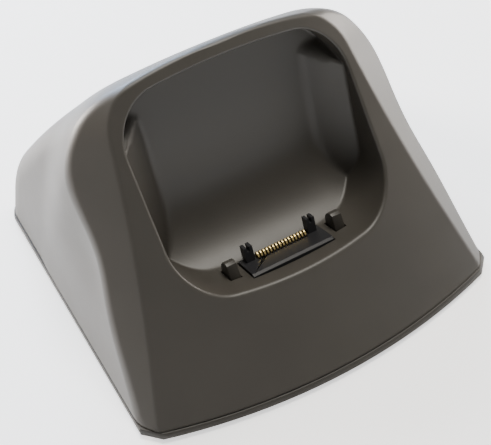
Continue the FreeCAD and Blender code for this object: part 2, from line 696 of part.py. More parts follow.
def dock_electronics():
    """The dock board under the connector, and its flat-cable header."""
    top = "-Sizes.block_foot - Sizes.board_gap"
    board = box("dock_board", ("-Sizes.dock_board_width / 2", "Sizes.block_front - 1.6",
                               f"{top} - Sizes.dock_board_thick"),
                (ref("dock_board_width"), "Sizes.block_back - Sizes.block_front + 2.8",
                 ref("dock_board_thick")))
    under = f"({top} - Sizes.dock_board_thick)"
    shell = box("dock_header_shell", ("-Sizes.header_width / 2", "Sizes.block_back - 2.9",
                                      f"{under} - Sizes.header_high"),
                (ref("header_width"), ref("header_deep"), ref("header_high")))
    mouth = box("dock_header_mouth", ("-Sizes.header_width / 2 + 1",
                                      "Sizes.block_back - 1.9",
                                      f"{under} - (Sizes.header_high + Sizes.header_slot) / 2"),
                ("Sizes.header_width - 2", ref("header_deep"), ref("header_slot")))
    header = cut("dock_header", shell, mouth)
    DOC.recompute()
    for thing in (board, ):
        for axis in "xyz":
            thing.setExpression(f"Placement.Base.{axis}", None)
        node(thing, thing.Name, DOCK.multiply(thing.Placement))
    node(header, "dock_header", DOCK)


def flat_cable():
    """The strip from the dock header down, along the base and up into the main header."""
    drop = -size("block_foot") - size("board_gap") - size("dock_board_thick") - size("header_high") / 2
    start = DOCK.multVec(Vector(0, size("block_back") - 1.2, drop))
    bend = DOCK.multVec(Vector(0, size("block_back") + 5.0, drop))
    rise = FLOOR + size("board_rise") + size("board_thick") + size("header_high") / 2
    board = FRONT + size("board_front")
    path = [start, bend, Vector(0, board - 9, bend.z), Vector(0, board - 4, rise),
            Vector(0, board + 3, rise)]
    left = Vector(-size("cable_width") / 2, 0, 0)
    line = Part.makePolygon([left + point for point in path])
    face = line.makeOffset2D(size("cable_thick") / 2, 2, True, False, False)
    return free_form("flat_cable", face.extrude(left * -2))


# ---------------------------------------------------------------- main board

def board_screw_tools(radius):
    return [rod(f"board_hole_{index}", (str(place[0]), str(place[1]), ref("foot_proud")),
                radius, "4 * Sizes.board_rise")
            for index, place in enumerate(standoff_places())]


def main_board():
    plate = box("board_plate", ("-Sizes.board_width / 2", f"{FRONT_REF} + Sizes.board_front",
                                "Sizes.foot_proud + Sizes.board_rise"),
                (ref("board_width"), "Sizes.board_back - Sizes.board_front", ref("board_thick")))
    holes = fuse("board_holes", board_screw_tools("Sizes.board_screw_radius + 0.3"))
    node(cut("main_board", plate, holes), "main_board")


def on_board(name, centre, sides):
    """A box that stands on the main board, from its middle's x and its front's distance."""
    corner = (f"{centre[0]} - ({sides[0]}) / 2", f"{FRONT_REF} + {centre[1]}", BOARD_TOP)
    return box(name, corner, sides)


def board_parts():
    header = on_board("main_header_shell", ("0", "Sizes.board_front + 1"),
                      (ref("header_width"), ref("header_deep"), ref("header_high")))
    mouth = box("main_header_mouth", ("-Sizes.header_width / 2 + 1",
                                      f"{FRONT_REF} + Sizes.board_front",
                                      f"{BOARD_TOP} + (Sizes.header_high - Sizes.header_slot) / 2"),
                ("Sizes.header_width - 2", ref("header_deep"), ref("header_slot")))
    node(cut("main_header", header, mouth), "main_header")
    node(on_board("charge_chip", ("2", "Sizes.board_front + 13"), ("7", "7", "1.2")), "charge_chip")
    node(rod("inductor", ("-10", f"{FRONT_REF} + Sizes.board_front + 17", BOARD_TOP), "4.5", "4.2"),
         "inductor")
    cans = [rod(f"capacitor_{index}", (across, f"{FRONT_REF} + Sizes.board_front + 16", BOARD_TOP),
                "3.2", "8") for index, across in enumerate(("16", "25"))]
    node(group("capacitors", cans), "capacitors")


def dc_jack():
    axis = f"{BOARD_TOP} + Sizes.jack_axis"
    face = f"{FRONT_REF} + Sizes.jack_face"
    body = on_board("jack_body", (ref("jack_x"), "Sizes.jack_face - Sizes.jack_length"),
                    (ref("jack_width"), ref("jack_length"), ref("jack_high")))
    nose = rod("jack_nose", (ref("jack_x"), face, axis), ref("nose_radius"), ref("nose_length"), "y")
    bore = rod("jack_hole", (ref("jack_x"), f"{face} - 4.6", axis), ref("jack_bore"), "20", "y")
    node(cut("dc_jack", fuse("jack_solid", [body, nose]), bore), "dc_jack")
    pin = rod("dc_pin", (ref("jack_x"), f"{face} - 4.6", axis), ref("jack_pin"),
              "Sizes.nose_length + 3.6", "y")
    node(pin, "dc_pin")


def usb_socket():
    start = "Sizes.usb_face - Sizes.usb_length"
    shell = on_board("usb_can", (ref("usb_x"), start),
                     (ref("usb_width"), ref("usb_length"), ref("usb_high")))
    mouth = box("usb_mouth", ("Sizes.usb_x - Sizes.usb_width / 2 + Sizes.usb_skin",
                              f"{FRONT_REF} + {start} + 1", f"{BOARD_TOP} + Sizes.usb_skin"),
                ("Sizes.usb_width - 2 * Sizes.usb_skin", ref("usb_length"),
                 "Sizes.usb_high - 2 * Sizes.usb_skin"))
    node(cut("usb_shell", shell, mouth), "usb_shell")
    tongue = box("usb_tongue", ("Sizes.usb_x - 2.3", f"{FRONT_REF} + {start} + 1",
                                f"{BOARD_TOP} + (Sizes.usb_high - Sizes.tongue_thick) / 2"),
                 ("4.6", "Sizes.usb_length - 2.2", ref("tongue_thick")))
    node(tongue, "usb_tongue")


# ---------------------------------------------------------------- ballast, feet and screws

def ballast_plate():
    front = f"{FRONT_REF} + Sizes.ballast_front"
    plate = box("ballast_slab", ("-Sizes.ballast_width / 2", front,
                                 "Sizes.foot_proud + Sizes.cover_thick"),
                (ref("ballast_width"), ref("ballast_length"), ref("ballast_thick")))
    holes = [rod(f"peg_hole_{index}", (across, f"{front} + Sizes.ballast_length / 2", "0"),
                 "Sizes.peg_radius + Sizes.peg_clear", "20")
             for index, across in enumerate(("-Sizes.peg_x", ref("peg_x")))]
    node(cut("ballast_plate", plate, fuse("peg_holes", holes)), "ballast_plate")


def foot(label, place):
    """A round rubber foot with a softened lower edge."""
    body = new_body(label)
    disc = round_profile(body, f"{label}_disc", "XY_Plane", ("0", "0"), ref("foot_radius"))
    base = pad(body, disc, "Sizes.foot_proud + Sizes.foot_seat")
    DOC.recompute()
    edge = body.newObject("PartDesign::Chamfer", f"{label}_edge")
    low = min(range(len(base.Shape.Edges)), key=lambda index: base.Shape.Edges[index].CenterOfMass.z)
    edge.Base = (base, [f"Edge{low + 1}"])
    edge.Size = 0.5
    body.Tip = edge
    return node(body, label, Placement(Vector(place[0], place[1], 0), Rotation()))


def screw(name, place, seat, facts):
    """A pan-head screw, head down if its height is negative, with a cross recess."""
    radius, length, head_radius, head_high, way = facts
    x, y = place
    low, high = (seat - head_high, seat) if way > 0 else (seat, seat + head_high)
    head = rod(f"{name}_head", (str(x), str(y), str(low)), head_radius, str(high - low))
    start = seat if way > 0 else seat - length
    shank = rod(f"{name}_shank", (str(x), str(y), str(start)), radius, str(length))
    deep = 0.6 * head_high
    bottom = low - 0.01 if way > 0 else high - deep + 0.01
    bars = [box(f"{name}_bar_{index}", (str(x - wide / 2), str(y - tall / 2), str(bottom)),
                (str(wide), str(tall), str(deep)))
            for index, (wide, tall) in enumerate(((2.4, 0.6), (0.6, 2.4)))]
    return cut(name, fuse(f"{name}_solid", [head, shank]), fuse(f"{name}_cross", bars))


def screws():
    seat = COVER_TOP + size("column_rise") - 2.1
    facts = (ref("screw_radius"), size("shank_length"), ref("head_radius"), size("head_high"), 1)
    node(group("base_screws", [screw(f"base_screw_{index}", place, seat, facts)
                               for index, place in enumerate(screw_places())]), "base_screws")
    seat = FLOOR + size("board_rise") + size("board_thick")
    facts = (ref("board_screw_radius"), size("board_shank"), ref("board_head_radius"),
             size("board_head_high"), -1)
    node(group("board_screws", [screw(f"board_screw_{index}", place, seat, facts)
                                for index, place in enumerate(standoff_places())]), "board_screws")


# ---------------------------------------------------------------- build and write

def build():
    free_form("top_housing", top_housing())
    free_form("base_cover", base_cover())
    dock_rocker()
    dock_connector()
    for index in range(int(size("contact_count"))):
        contact(index)
    rocker_pin()
    rocker_spring()
    dock_electronics()
    flat_cable()
    main_board()
    board_parts()
    dc_jack()
    usb_socket()
    ballast_plate()
    corners = ("front_left", "front_right", "rear_left", "rear_right")
    for corner, place in zip(corners, foot_places()):
        foot(f"foot_{corner}", place)
    screws()
    DOC.recompute()


def check():
    for thing in DOC.Objects:
        if "Invalid" in thing.State or "Error" in thing.State:
            raise ValueError(f"{thing.Label} failed: {thing.State}")
    for thing in NODES:
        if thing.Shape.isNull() or not thing.Shape.isValid():
            raise ValueError(f"{thing.Label} has a bad shape")


def write():
    os.makedirs("parts", exist_ok=True)
    for thing in NODES:
        thing.Shape.exportStep(f"parts/{thing.Label}.step")
        extent = thing.Shape.BoundBox
        print(f"{thing.Label}: {len(thing.Shape.Solids)} solid(s), {thing.Shape.Volume:.1f} mm3, "
              f"x {extent.XMin:.1f} to {extent.XMax:.1f}, y {extent.YMin:.1f} to {extent.YMax:.1f}, "
              f"z {extent.ZMin:.1f} to {extent.ZMax:.1f}")


build()
check()
write()
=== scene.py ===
"""Desktop charging cradle for a handheld organiser: the finished look of every piece.

Lengths in the shape functions are millimetres in the frame of the cradle: X to the right, Y to
the back, Z up from the table. Meshes are in metres.
"""
import math

import bmesh
import bpy
import numpy as np
from bpy.props import FloatProperty, FloatVectorProperty, IntProperty, PointerProperty
from mathutils import Matrix, Vector


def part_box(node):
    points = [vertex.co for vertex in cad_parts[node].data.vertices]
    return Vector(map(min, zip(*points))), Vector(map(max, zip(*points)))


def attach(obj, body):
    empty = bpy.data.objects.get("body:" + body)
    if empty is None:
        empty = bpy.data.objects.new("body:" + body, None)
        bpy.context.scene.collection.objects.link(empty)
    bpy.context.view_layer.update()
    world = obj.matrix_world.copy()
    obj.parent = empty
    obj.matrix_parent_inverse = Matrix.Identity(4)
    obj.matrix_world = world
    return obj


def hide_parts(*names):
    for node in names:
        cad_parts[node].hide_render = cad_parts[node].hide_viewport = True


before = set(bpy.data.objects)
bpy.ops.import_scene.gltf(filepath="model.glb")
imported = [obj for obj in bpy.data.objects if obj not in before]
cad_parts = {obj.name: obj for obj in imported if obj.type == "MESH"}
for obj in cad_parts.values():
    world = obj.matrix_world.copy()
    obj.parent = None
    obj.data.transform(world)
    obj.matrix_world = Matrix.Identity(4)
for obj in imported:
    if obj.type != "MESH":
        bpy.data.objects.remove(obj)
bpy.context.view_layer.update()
COVER_LOW, COVER_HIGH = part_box("base_cover")
HOUSING_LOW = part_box("top_housing")[0]

bl_info = {
    "name": "Charging Cradle",
    "version": (1, 0, 0),
    "blender": (4, 5, 0),
    "location": "3D View > Sidebar > Cradle",
    "description": "Builds the pieces of a desktop charging cradle, with their finishes",
    "category": "Add Mesh",
}


# ---------------------------------------------------------------- sizes and colours

def length(name, value, description):
    return FloatProperty(name=name, description=description, default=value, min=0.0,
                         precision=5, subtype="DISTANCE", unit="LENGTH")


def angle(name, degrees, description):
    return FloatProperty(name=name, description=description, default=math.radians(degrees),
                         subtype="ANGLE", unit="ROTATION")


def colour(name, value, description):
    return FloatVectorProperty(name=name, description=description, default=value, size=3,
                               min=0.0, max=1.0, subtype="COLOR")


class CradleForm(bpy.types.PropertyGroup):
    base_width: length("Base width", COVER_HIGH.x - COVER_LOW.x, "Width of the cradle at the table")
    base_depth: length("Base depth", COVER_HIGH.y - COVER_LOW.y, "Front to back at the table")
    lift: length("Lift", COVER_LOW.z, "Height of the underside above the table")
    top: length("Top", 0.0752, "Height above the table at which the hood's crown and back would meet")
    parting: length("Parting level", HOUSING_LOW.z, "Height of the housing's lower edge")
    wall: length("Wall", 0.0025, "Thickness of the housing")
    face_angle: angle("Face angle", 48.2, "Slope of the face from the table")
    face_bow: length("Face bow", 0.009, "How far the face's middle stands ahead of its sides")
    waist_width: length("Waist width", 0.1035, "Width where the sides turn upright")
    waist_rise: length("Waist rise", 0.040, "Height of the waist above the underside")
    hood_corner: length("Hood corner", 0.019, "Radius of the hood's upper corners, behind the bevel")
    rear_corner: length("Rear corner", 0.034, "Radius of the upper corners at the back")
    hollow: length("Side hollow", 0.0034, "How far the sides draw in behind the face")
    hollow_rise: length("Hollow height", 0.040, "Height of the hollow's middle")
    hollow_run: length("Hollow run", 0.046, "From the base's front to the hollow's middle")
    hollow_reach: length("Hollow reach", 0.0165, "How far the hollow spreads")
    crown_radius: length("Crown radius", 0.087, "Radius of the hood's top, seen from the front")
    hood_run: length("Hood run", 0.0646, "From the base's front to the hood's rear edge")
    back_angle: angle("Back angle", 53.0, "Slope of the back from the table's normal")
    rear_radius: length("Rear radius", 0.024, "Radius between the sloping back and the rear")
    edge_radius: length("Edge radius", 0.008, "Radius of the edges round the back")
    bevel_angle: angle("Bevel angle", 33.5, "Turn between the face and its bevel")
    crease_foot: length("Crease foot", 0.0530, "Half-width of the flat face at the table")
    crease_waist: length("Crease waist", 0.0392, "Half-width of the flat face at its waist")
    crease_level: length("Crease level", 0.056, "Distance up the face to its waist")
    crease_top: length("Crease top", 0.095, "Distance up the face to its upper edge")
    crease_corner: length("Crease corner", 0.0155, "Radius of the flat face's upper corners")
    crease_soft: length("Crease softness", 0.00035, "Rounding between the face and its bevel")
    rim_soft: length("Rim softness", 0.0012, "Rounding between the bevel and the sides")


class CradlePocket(bpy.types.PropertyGroup):
    run: length("Dock run", 0.01905, "From the base's front to the dock's origin")
    rise: length("Dock rise", 0.0248, "From the underside to the dock's origin")
    lean: angle("Lean", 68.0, "Lean of the docked handheld from the table")
    width: length("Pocket width", 0.066, "Clear width of the pocket")
    depth: length("Pocket depth", 0.0304, "From the dock's origin to the back wall")
    top: length("Pocket top", 0.0559, "Height of the pocket's upper edge above the dock's origin")
    sag: length("Floor sag", 0.0009, "How far the floor's middle lies under the dock's origin")
    floor_radius: length("Floor radius", 0.150, "Radius of the floor across the pocket")
    lip_corner: length("Lip corner", 0.013, "Radius of the lower corners")
    brow_corner: length("Brow corner", 0.012, "Radius of the upper corners")
    brow_radius: length("Brow radius", 0.160, "Radius of the upper edge")
    heel_radius: length("Heel radius", 0.023, "Radius between the back wall and the floor")
    heel_rise: length("Heel rise", 0.020, "Height at which the back wall starts to curve")
    cheek_width: length("Cheek width", 0.0086, "Width of the corner guides on the back wall")
    cheek_depth: length("Cheek depth", 0.0087, "Depth of the corner guides on the side wall")
    cheek_back: length("Cheek top at the back", 0.0466, "Top of the guides on the back wall")
    cheek_side: length("Cheek top at the side", 0.0406, "Top of the guides on the side wall")
    cheek_lead: angle("Cheek lead-in", 35.0, "Slope of the guides' tops")
    lip_soft: length("Lip softness", 0.0009, "Rounding of the pocket's mouth")
    crease_soft: length("Inner softness", 0.0004, "Rounding of the pocket's inner edges")


class CradleFittings(bpy.types.PropertyGroup):
    contacts: IntProperty(name="Contacts", description="Number of contacts", default=16, min=1)
    pitch: length("Contact pitch", 0.001, "From one contact to the next")
    leaf_width: length("Leaf width", 0.0005, "Width of a contact")
    leaf_thick: length("Leaf thickness", 0.0002, "Thickness of a contact")
    leaf_back: length("Leaf back", 0.0168, "From the dock's origin to a contact's spine")
    leaf_front: length("Leaf front", 0.01455, "From the dock's origin to a contact's nose")
    leaf_top: length("Leaf top", 0.00205, "Height of a contact above the dock's origin")
    leaf_foot: length("Leaf foot", 0.00845, "Depth of a contact under the dock's origin")
    block_front: length("Block front", 0.0084, "From the dock's origin to the connector's front")
    block_top: length("Block top", 0.00035, "Height of the connector above the dock's origin")
    block_chamfer: length("Block chamfer", 0.0006, "Width of the chamfer along the connector's front")
    foot_radius: length("Foot radius", 0.0045, "Radius of a rubber foot")
    screw_radius: length("Screw radius", 0.0012, "Radius of a base screw's shank")
    head_radius: length("Head radius", 0.0026, "Radius of a base screw's head")
    jack_radius: length("Jack hole", 0.0043, "Radius of the power inlet's hole")


class CradleColours(bpy.types.PropertyGroup):
    housing: colour("Housing", (0.040, 0.036, 0.030), "Moulded housing")
    connector: colour("Connector", (0.012, 0.012, 0.014), "Docking connector")
    contact: colour("Contacts", (1.0, 0.74, 0.32), "Plated contacts")
    rubber: colour("Feet", (0.02, 0.02, 0.02), "Rubber feet")
    nylon: colour("Headers", (0.70, 0.66, 0.55), "Cable headers")
    film: colour("Cable", (0.75, 0.76, 0.78), "Flat cable")
    can: colour("Cans", (0.75, 0.76, 0.78), "Capacitor cans")
    board: colour("Boards", (0.02, 0.13, 0.05), "Circuit boards")
    copper: colour("Tracks", (0.05, 0.24, 0.09), "Tracks under the boards' lacquer")
    steel: colour("Steel", (0.55, 0.56, 0.57), "Plated steel")
    floor: colour("Floor", (0.86, 0.86, 0.86), "Surface under the cradle")


# ---------------------------------------------------------------- node trees

def plug(node, sockets):
    """Give each socket of a node its value, or a link from each of its wires."""
    for key, value in sockets.items():
        wires = value if isinstance(value, list) else [value]
        if isinstance(wires[0], Wire):
            for wire in wires:
                wire.tree.links.new(wire.socket, node.inputs[key])
        else:
            node.inputs[key].default_value = value


class Wire:
    """One output of a node tree. Arithmetic on it adds Math nodes."""

    def __init__(self, tree, socket=None):
        self.tree = tree
        self.socket = socket

    def node(self, kind, settings=None, sockets=None, output=0):
        """Add a node: its settings first, then the value or the link of each socket."""
        made = self.tree.nodes.new(kind)
        for name, value in (settings or {}).items():
            setattr(made, name, value)
        plug(made, sockets or {})
        return Wire(self.tree, made.outputs[output])

    def maths(self, operation, first, second):
        return self.node("ShaderNodeMath", {"operation": operation}, {0: first, 1: second})

    def __add__(self, other):
        return self.maths("ADD", self, other)

    def __sub__(self, other):
        return self.maths("SUBTRACT", self, other)

    def __rsub__(self, other):
        return self.maths("SUBTRACT", other, self)

    def __mul__(self, other):
        return self.maths("MULTIPLY", self, other)


def shaded(colour, factor):
    return tuple(min(1.0, channel * factor) for channel in colour) + (1.0,)


def opened(material):
    """A material's shader, and a wire of the object's own coordinates."""
    shader = next(item for item in material.node_tree.nodes if item.type == "BSDF_PRINCIPLED")
    return shader, Wire(material.node_tree).node("ShaderNodeTexCoord", output="Object")


def finish(name, colour, roughness, grain=0.0004, depth=0.00001, spread=0.12, uneven=0.05,
           metallic=0.0, coat=0.0, drift=0.012):
    """A moulded, rubber or metal finish.

    grain is the size of its texture and depth its height. spread is how much the colour
    varies, uneven how much the gloss does, and drift the size of those slow variations.
    """
    material = bpy.data.materials.new(name)
    material.use_nodes = True
    shader, place = opened(material)
    fine = place.node("ShaderNodeTexNoise", {}, {"Vector": place, "Scale": 1 / grain, "Detail": 3.0,
                                                 "Roughness": 0.6})
    slow = place.node("ShaderNodeTexNoise", {}, {"Vector": place, "Scale": 1 / drift, "Detail": 4.0,
                                                 "Roughness": 0.55})
    share = slow * 0.6 + fine * 0.4
    tint = place.node("ShaderNodeMix", {"data_type": "RGBA"},
                      {"Factor": share, 6: shaded(colour, 1 - spread), 7: shaded(colour, 1 + spread)},
                      output=2)
    gloss = (slow - 0.5) * (2 * uneven) + (fine - 0.5) * uneven + roughness
    bump = place.node("ShaderNodeBump", {}, {"Strength": 1.0, "Distance": depth, "Height": fine})
    plug(shader, {"Base Color": tint, "Roughness": gloss, "Normal": bump, "Metallic": metallic,
                  "Coat Weight": coat})
    return material


def striped(name, colour, pitch, groove, roughness):
    """A flat cable's finish: fine parallel conductors across its width."""
    material = finish(name, colour, roughness, spread=0.08)
    shader, place = opened(material)
    wave = place.node("ShaderNodeTexWave", {"wave_type": "BANDS", "bands_direction": "X"},
                      {"Vector": place, "Scale": 0.314 / pitch, "Distortion": 0.0}, output="Fac")
    tint = place.node("ShaderNodeMix", {"data_type": "RGBA"},
                      {"Factor": wave, 6: shaded(colour, groove), 7: shaded(colour, 1.0)}, output=2)
    plug(shader, {"Base Color": tint})
    return material


def traced(name, colour, copper):
    """A circuit board's finish: a lacquered board with raised tracks."""
    material = finish(name, colour, 0.35, grain=0.0008, spread=0.1, coat=0.3)
    shader, place = opened(material)
    tracks = place.node("ShaderNodeTexBrick", {"offset": 0.3, "squash": 0.7, "squash_frequency": 3},
                        {"Vector": place, "Scale": 260.0, "Mortar Size": 0.06, "Brick Width": 1.7,
                         "Row Height": 0.4}, output="Fac")
    tint = place.node("ShaderNodeMix", {"data_type": "RGBA"},
                      {"Factor": tracks * 0.5, 6: shaded(colour, 1.0), 7: shaded(copper, 1.0)},
                      output=2)
    bump = place.node("ShaderNodeBump", {}, {"Strength": 1.0, "Distance": 0.00003, "Height": tracks})
    plug(shader, {"Base Color": tint, "Normal": bump})
    return material


# ---------------------------------------------------------------- geometry trees

SAME_POINT = 2e-6


def new_tree(name, sizes):
    """A geometry tree with named sizes: wires of its input geometry and of each size."""
    tree = bpy.data.node_groups.new(name, "GeometryNodeTree")
    for way in ("INPUT", "OUTPUT"):
        tree.interface.new_socket("Geometry", in_out=way, socket_type="NodeSocketGeometry")
    for size in sizes:
        tree.interface.new_socket(size, in_out="INPUT", socket_type="NodeSocketFloat")
    source = tree.nodes.new("NodeGroupInput")
    return [Wire(tree, source.outputs[name]) for name in ("Geometry", *sizes)]


def end_tree(shape, material):
    """The finished tree, which gives out the shape with its material."""
    real = shape.node("GeometryNodeRealizeInstances", {}, {"Geometry": shape})
    painted = shape.node("GeometryNodeSetMaterial", {}, {"Geometry": real, "Material": material})
    plug(shape.tree.nodes.new("NodeGroupOutput"), {"Geometry": painted})
    return shape.tree


def repeated(points, shape, material, sockets=None):
    """The finished tree, which gives out a copy of the shape at each point."""
    copies = points.node("GeometryNodeInstanceOnPoints", {},
                         {"Points": points, "Instance": shape, **(sockets or {})})
    return end_tree(copies, material)


def turned(start, outline, vertices=40):
    """A turned shape from its outline: pairs of radius and height, upwards, wires or numbers."""
    rings = []
    for (radius, height), (next_radius, next_height) in zip(outline, outline[1:]):
        cone = start.node("GeometryNodeMeshCone", {"fill_type": "NONE"},
                          {"Vertices": vertices, "Radius Bottom": radius, "Radius Top": next_radius,
                           "Depth": next_height - height})
        place = start.node("ShaderNodeCombineXYZ", {}, {"Z": height})
        rings.append(start.node("GeometryNodeTransform", {}, {"Geometry": cone, "Translation": place}))
    whole = start.node("GeometryNodeJoinGeometry", {}, {"Geometry": rings})
    return start.node("GeometryNodeMergeByDistance", {}, {"Geometry": whole, "Distance": SAME_POINT})


def grown(name, mesh_source, tree, values):
    """Run a geometry tree on an object, its sizes given by name, and keep the mesh."""
    thing = mesh_object(name, *mesh_source)
    modifier = thing.modifiers.new("shape", "NODES")
    modifier.node_group = tree
    for item in tree.interface.items_tree:
        if item.in_out == "INPUT" and item.name in values:
            modifier[item.identifier] = values[item.name]
    return reshaped(bake(thing), lambda form: bmesh.ops.recalc_face_normals(form, faces=form.faces))


def leaf_tree(material):
    """A contact: a strip of metal bent along its spine, across the dock at its own place."""
    sizes = ("Across", "Width", "Thickness", "Bend")
    spine, across, width, thick, bend = new_tree("contact leaf", sizes)
    line = spine.node("GeometryNodeMeshToCurve", {}, {"Mesh": spine})
    rounded = spine.node("GeometryNodeFilletCurve", {"mode": "POLY"},
                         {"Curve": line, "Radius": bend, "Count": 4})
    section = spine.node("GeometryNodeCurvePrimitiveQuadrilateral", {},
                         {"Width": width, "Height": thick})
    soft = spine.node("GeometryNodeFilletCurve", {"mode": "POLY"},
                      {"Curve": section, "Radius": thick * 0.3, "Count": 2})
    strip = spine.node("GeometryNodeCurveToMesh", {}, {"Curve": rounded, "Profile Curve": soft,
                                                       "Fill Caps": True})
    place = spine.node("ShaderNodeCombineXYZ", {}, {"X": across})
    moved = spine.node("GeometryNodeTransform", {}, {"Geometry": strip, "Translation": place})
    return end_tree(moved, material)


def foot_tree(material):
    """Rubber feet at the points: a rolled lower edge and a shallow dish under each."""
    points, radius, high = new_tree("rubber feet", ("Radius", "Height"))
    outline = [(0.0, high * 0.09), (radius * 0.62, high * 0.08), (radius * 0.70, high * 0.02),
               (radius * 0.76, 0.0), (radius * 0.87, high * 0.0001), (radius * 0.94, high * 0.05),
               (radius * 0.985, high * 0.14), (radius, high * 0.26), (radius, high * 0.97),
               (radius * 0.985, high * 0.99), (0.0, high)]
    return repeated(points, turned(points, outline, 64), material)


def screw_tree(name, way, material):
    """Pan-head screws at the points, with a ridged shank and a cross recess in the head."""
    sizes = ("Shank", "Length", "Head", "Head height")
    points, shank, length, head, high = new_tree(name, sizes)
    turns = 9
    ridges = [(shank * (1.0 if index % 2 else 0.86), length * (index / (2 * turns)))
              for index in range(2 * turns)]
    tip = [(shank * 0.7, length * 0.97), (0.0, length)]
    body = turned(points, [(0.0, 0.0)] + ridges[1:] + tip, 24)
    crown = [(0.0, high * -1.0), (head * 0.55, high * -0.985), (head * 0.78, high * -0.9),
             (head * 0.92, high * -0.72), (head * 0.985, high * -0.45), (head, high * -0.06),
             (head * 0.97, high * 0.0), (0.0, high * 0.001)]
    cap = turned(points, crown, 40)
    bars = []
    for wide, tall in ((0.92, 0.23), (0.23, 0.92)):
        sides = points.node("ShaderNodeCombineXYZ", {},
                            {"X": head * wide, "Y": head * tall, "Z": high * 1.2})
        bar = points.node("GeometryNodeMeshCube", {}, {"Size": sides})
        low = points.node("ShaderNodeCombineXYZ", {}, {"Z": high * -1.0})
        bars.append(points.node("GeometryNodeTransform", {}, {"Geometry": bar, "Translation": low}))
    cross = points.node("GeometryNodeMeshBoolean", {"operation": "DIFFERENCE", "solver": "EXACT"},
                        {"Mesh 1": cap, "Mesh 2": bars})
    whole = points.node("GeometryNodeJoinGeometry", {}, {"Geometry": [body, cross]})
    turn = points.node("FunctionNodeEulerToRotation", {},
                       {"Euler": (0.0 if way > 0 else math.pi, 0.0, 0.0)})
    return repeated(points, whole, material, {"Rotation": turn})


def can_tree(material):
    """Capacitor cans at the points, with a rolled rim and the groove round their foot."""
    points, radius, high = new_tree("capacitor cans", ("Radius", "Height"))
    outline = [(0.0, 0.0), (radius * 0.93, high * 0.001), (radius, high * 0.02), (radius, high * 0.11),
               (radius * 0.93, high * 0.15), (radius * 0.93, high * 0.18), (radius, high * 0.22),
               (radius, high * 0.94), (radius * 0.97, high * 0.98), (radius * 0.9, high),
               (0.0, high * 1.0001)]
    return repeated(points, turned(points, outline, 48), material)


# ---------------------------------------------------------------- mesh helpers

def linked(name, data):
    """An object in the scene, from its mesh, light or camera."""
    thing = bpy.data.objects.new(name, data)
    bpy.context.scene.collection.objects.link(thing)
    return thing


def mesh_object(name, vertices, faces, edges=()):
    mesh = bpy.data.meshes.new(name)
    mesh.from_pydata(vertices, edges, faces)
    mesh.validate()
    return linked(name, mesh)


def reshaped(thing, work):
    """Run a piece of work on the form of an object's mesh."""
    form = bmesh.new()
    form.from_mesh(thing.data)
    work(form)
    form.to_mesh(thing.data)
    form.free()
    return thing


def bake(thing):
    """Give an object the mesh that its modifiers make, and take them off."""
    bpy.context.view_layer.update()
    graph = bpy.context.evaluated_depsgraph_get()
    made = bpy.data.meshes.new_from_object(thing.evaluated_get(graph))
    thing.modifiers.clear()
    old = thing.data
    thing.data = made
    bpy.data.meshes.remove(old)
    return thing


def smooth(thing, degrees):
    thing.data.shade_smooth()
    thing.data.set_sharp_from_angle(angle=math.radians(degrees))


def paint(thing, material):
    thing.data.materials.clear()
    thing.data.materials.append(material)


def seat(thing, material, body, nodes):
    """Paint a finished piece, tie it to its body and let it stand for its CAD nodes."""
    paint(thing, material)
    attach(thing, body)
    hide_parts(*nodes)
    return thing


def copy_of(node):
    """A merged copy of a CAD node's mesh, with its flat faces whole again and its arcs kept."""
    def clean(form):
        bmesh.ops.remove_doubles(form, verts=form.verts, dist=SAME_POINT)
        bmesh.ops.dissolve_limit(form, angle_limit=math.radians(0.05), verts=form.verts,
                                 edges=form.edges)

    return reshaped(linked(f"{node}_piece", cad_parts[node].data.copy()), clean)


def chamfered(thing, place, along, upward, width):
    """Cut a flat chamfer along the edges that lie at one place of the dock's side view."""
    back, slack = place.inverted(), 5e-5

    def near(vertex):
        spot = back @ vertex.co
        return abs(spot.y - along) < slack and abs(spot.z - upward) < slack

    def cut(form):
        edges = [edge for edge in form.edges if all(near(vertex) for vertex in edge.verts)]
        bmesh.ops.bevel(form, geom=edges, offset=width, segments=1, affect="EDGES")

    return reshaped(thing, cut)


def softened(thing, width, segments=3):
    """Round the edges at which an object turns by more than 30 degrees."""
    thing.data.shade_smooth()
    bevel = thing.modifiers.new("edges", "BEVEL")
    bevel.harden_normals = True
    bevel.width = width
    bevel.segments = segments
    bevel.limit_method = "ANGLE"
    bevel.angle_limit = math.radians(30)
    bevel.miter_outer = "MITER_ARC"
    return bake(thing)


# ---------------------------------------------------------------- housing's form

def meet(first, second, radius):
    """The overlap of two forms, given as distances, with their shared edge rounded."""
    rounded = np.hypot(np.maximum(radius + first, 0), np.maximum(radius + second, 0))
    return np.minimum(np.maximum(first, second), -radius) + rounded


def blend_low(first, second, reach):
    """The nearer of two distances, with the hollow between them softened."""
    share = np.clip(0.5 + 0.5 * (second - first) / reach, 0, 1)
    return second * (1 - share) + first * share - reach * share * (1 - share)


def millimetres(group):
    """A property group's lengths in millimetres, and its angles in radians."""
    values = {}
    for name, item in group.bl_rna.properties.items():
        if item.type == "FLOAT" and not item.is_array:
            value = getattr(group, name)
            values[name] = value if item.subtype == "ANGLE" else value * 1000
    return type("Sizes", (), values)


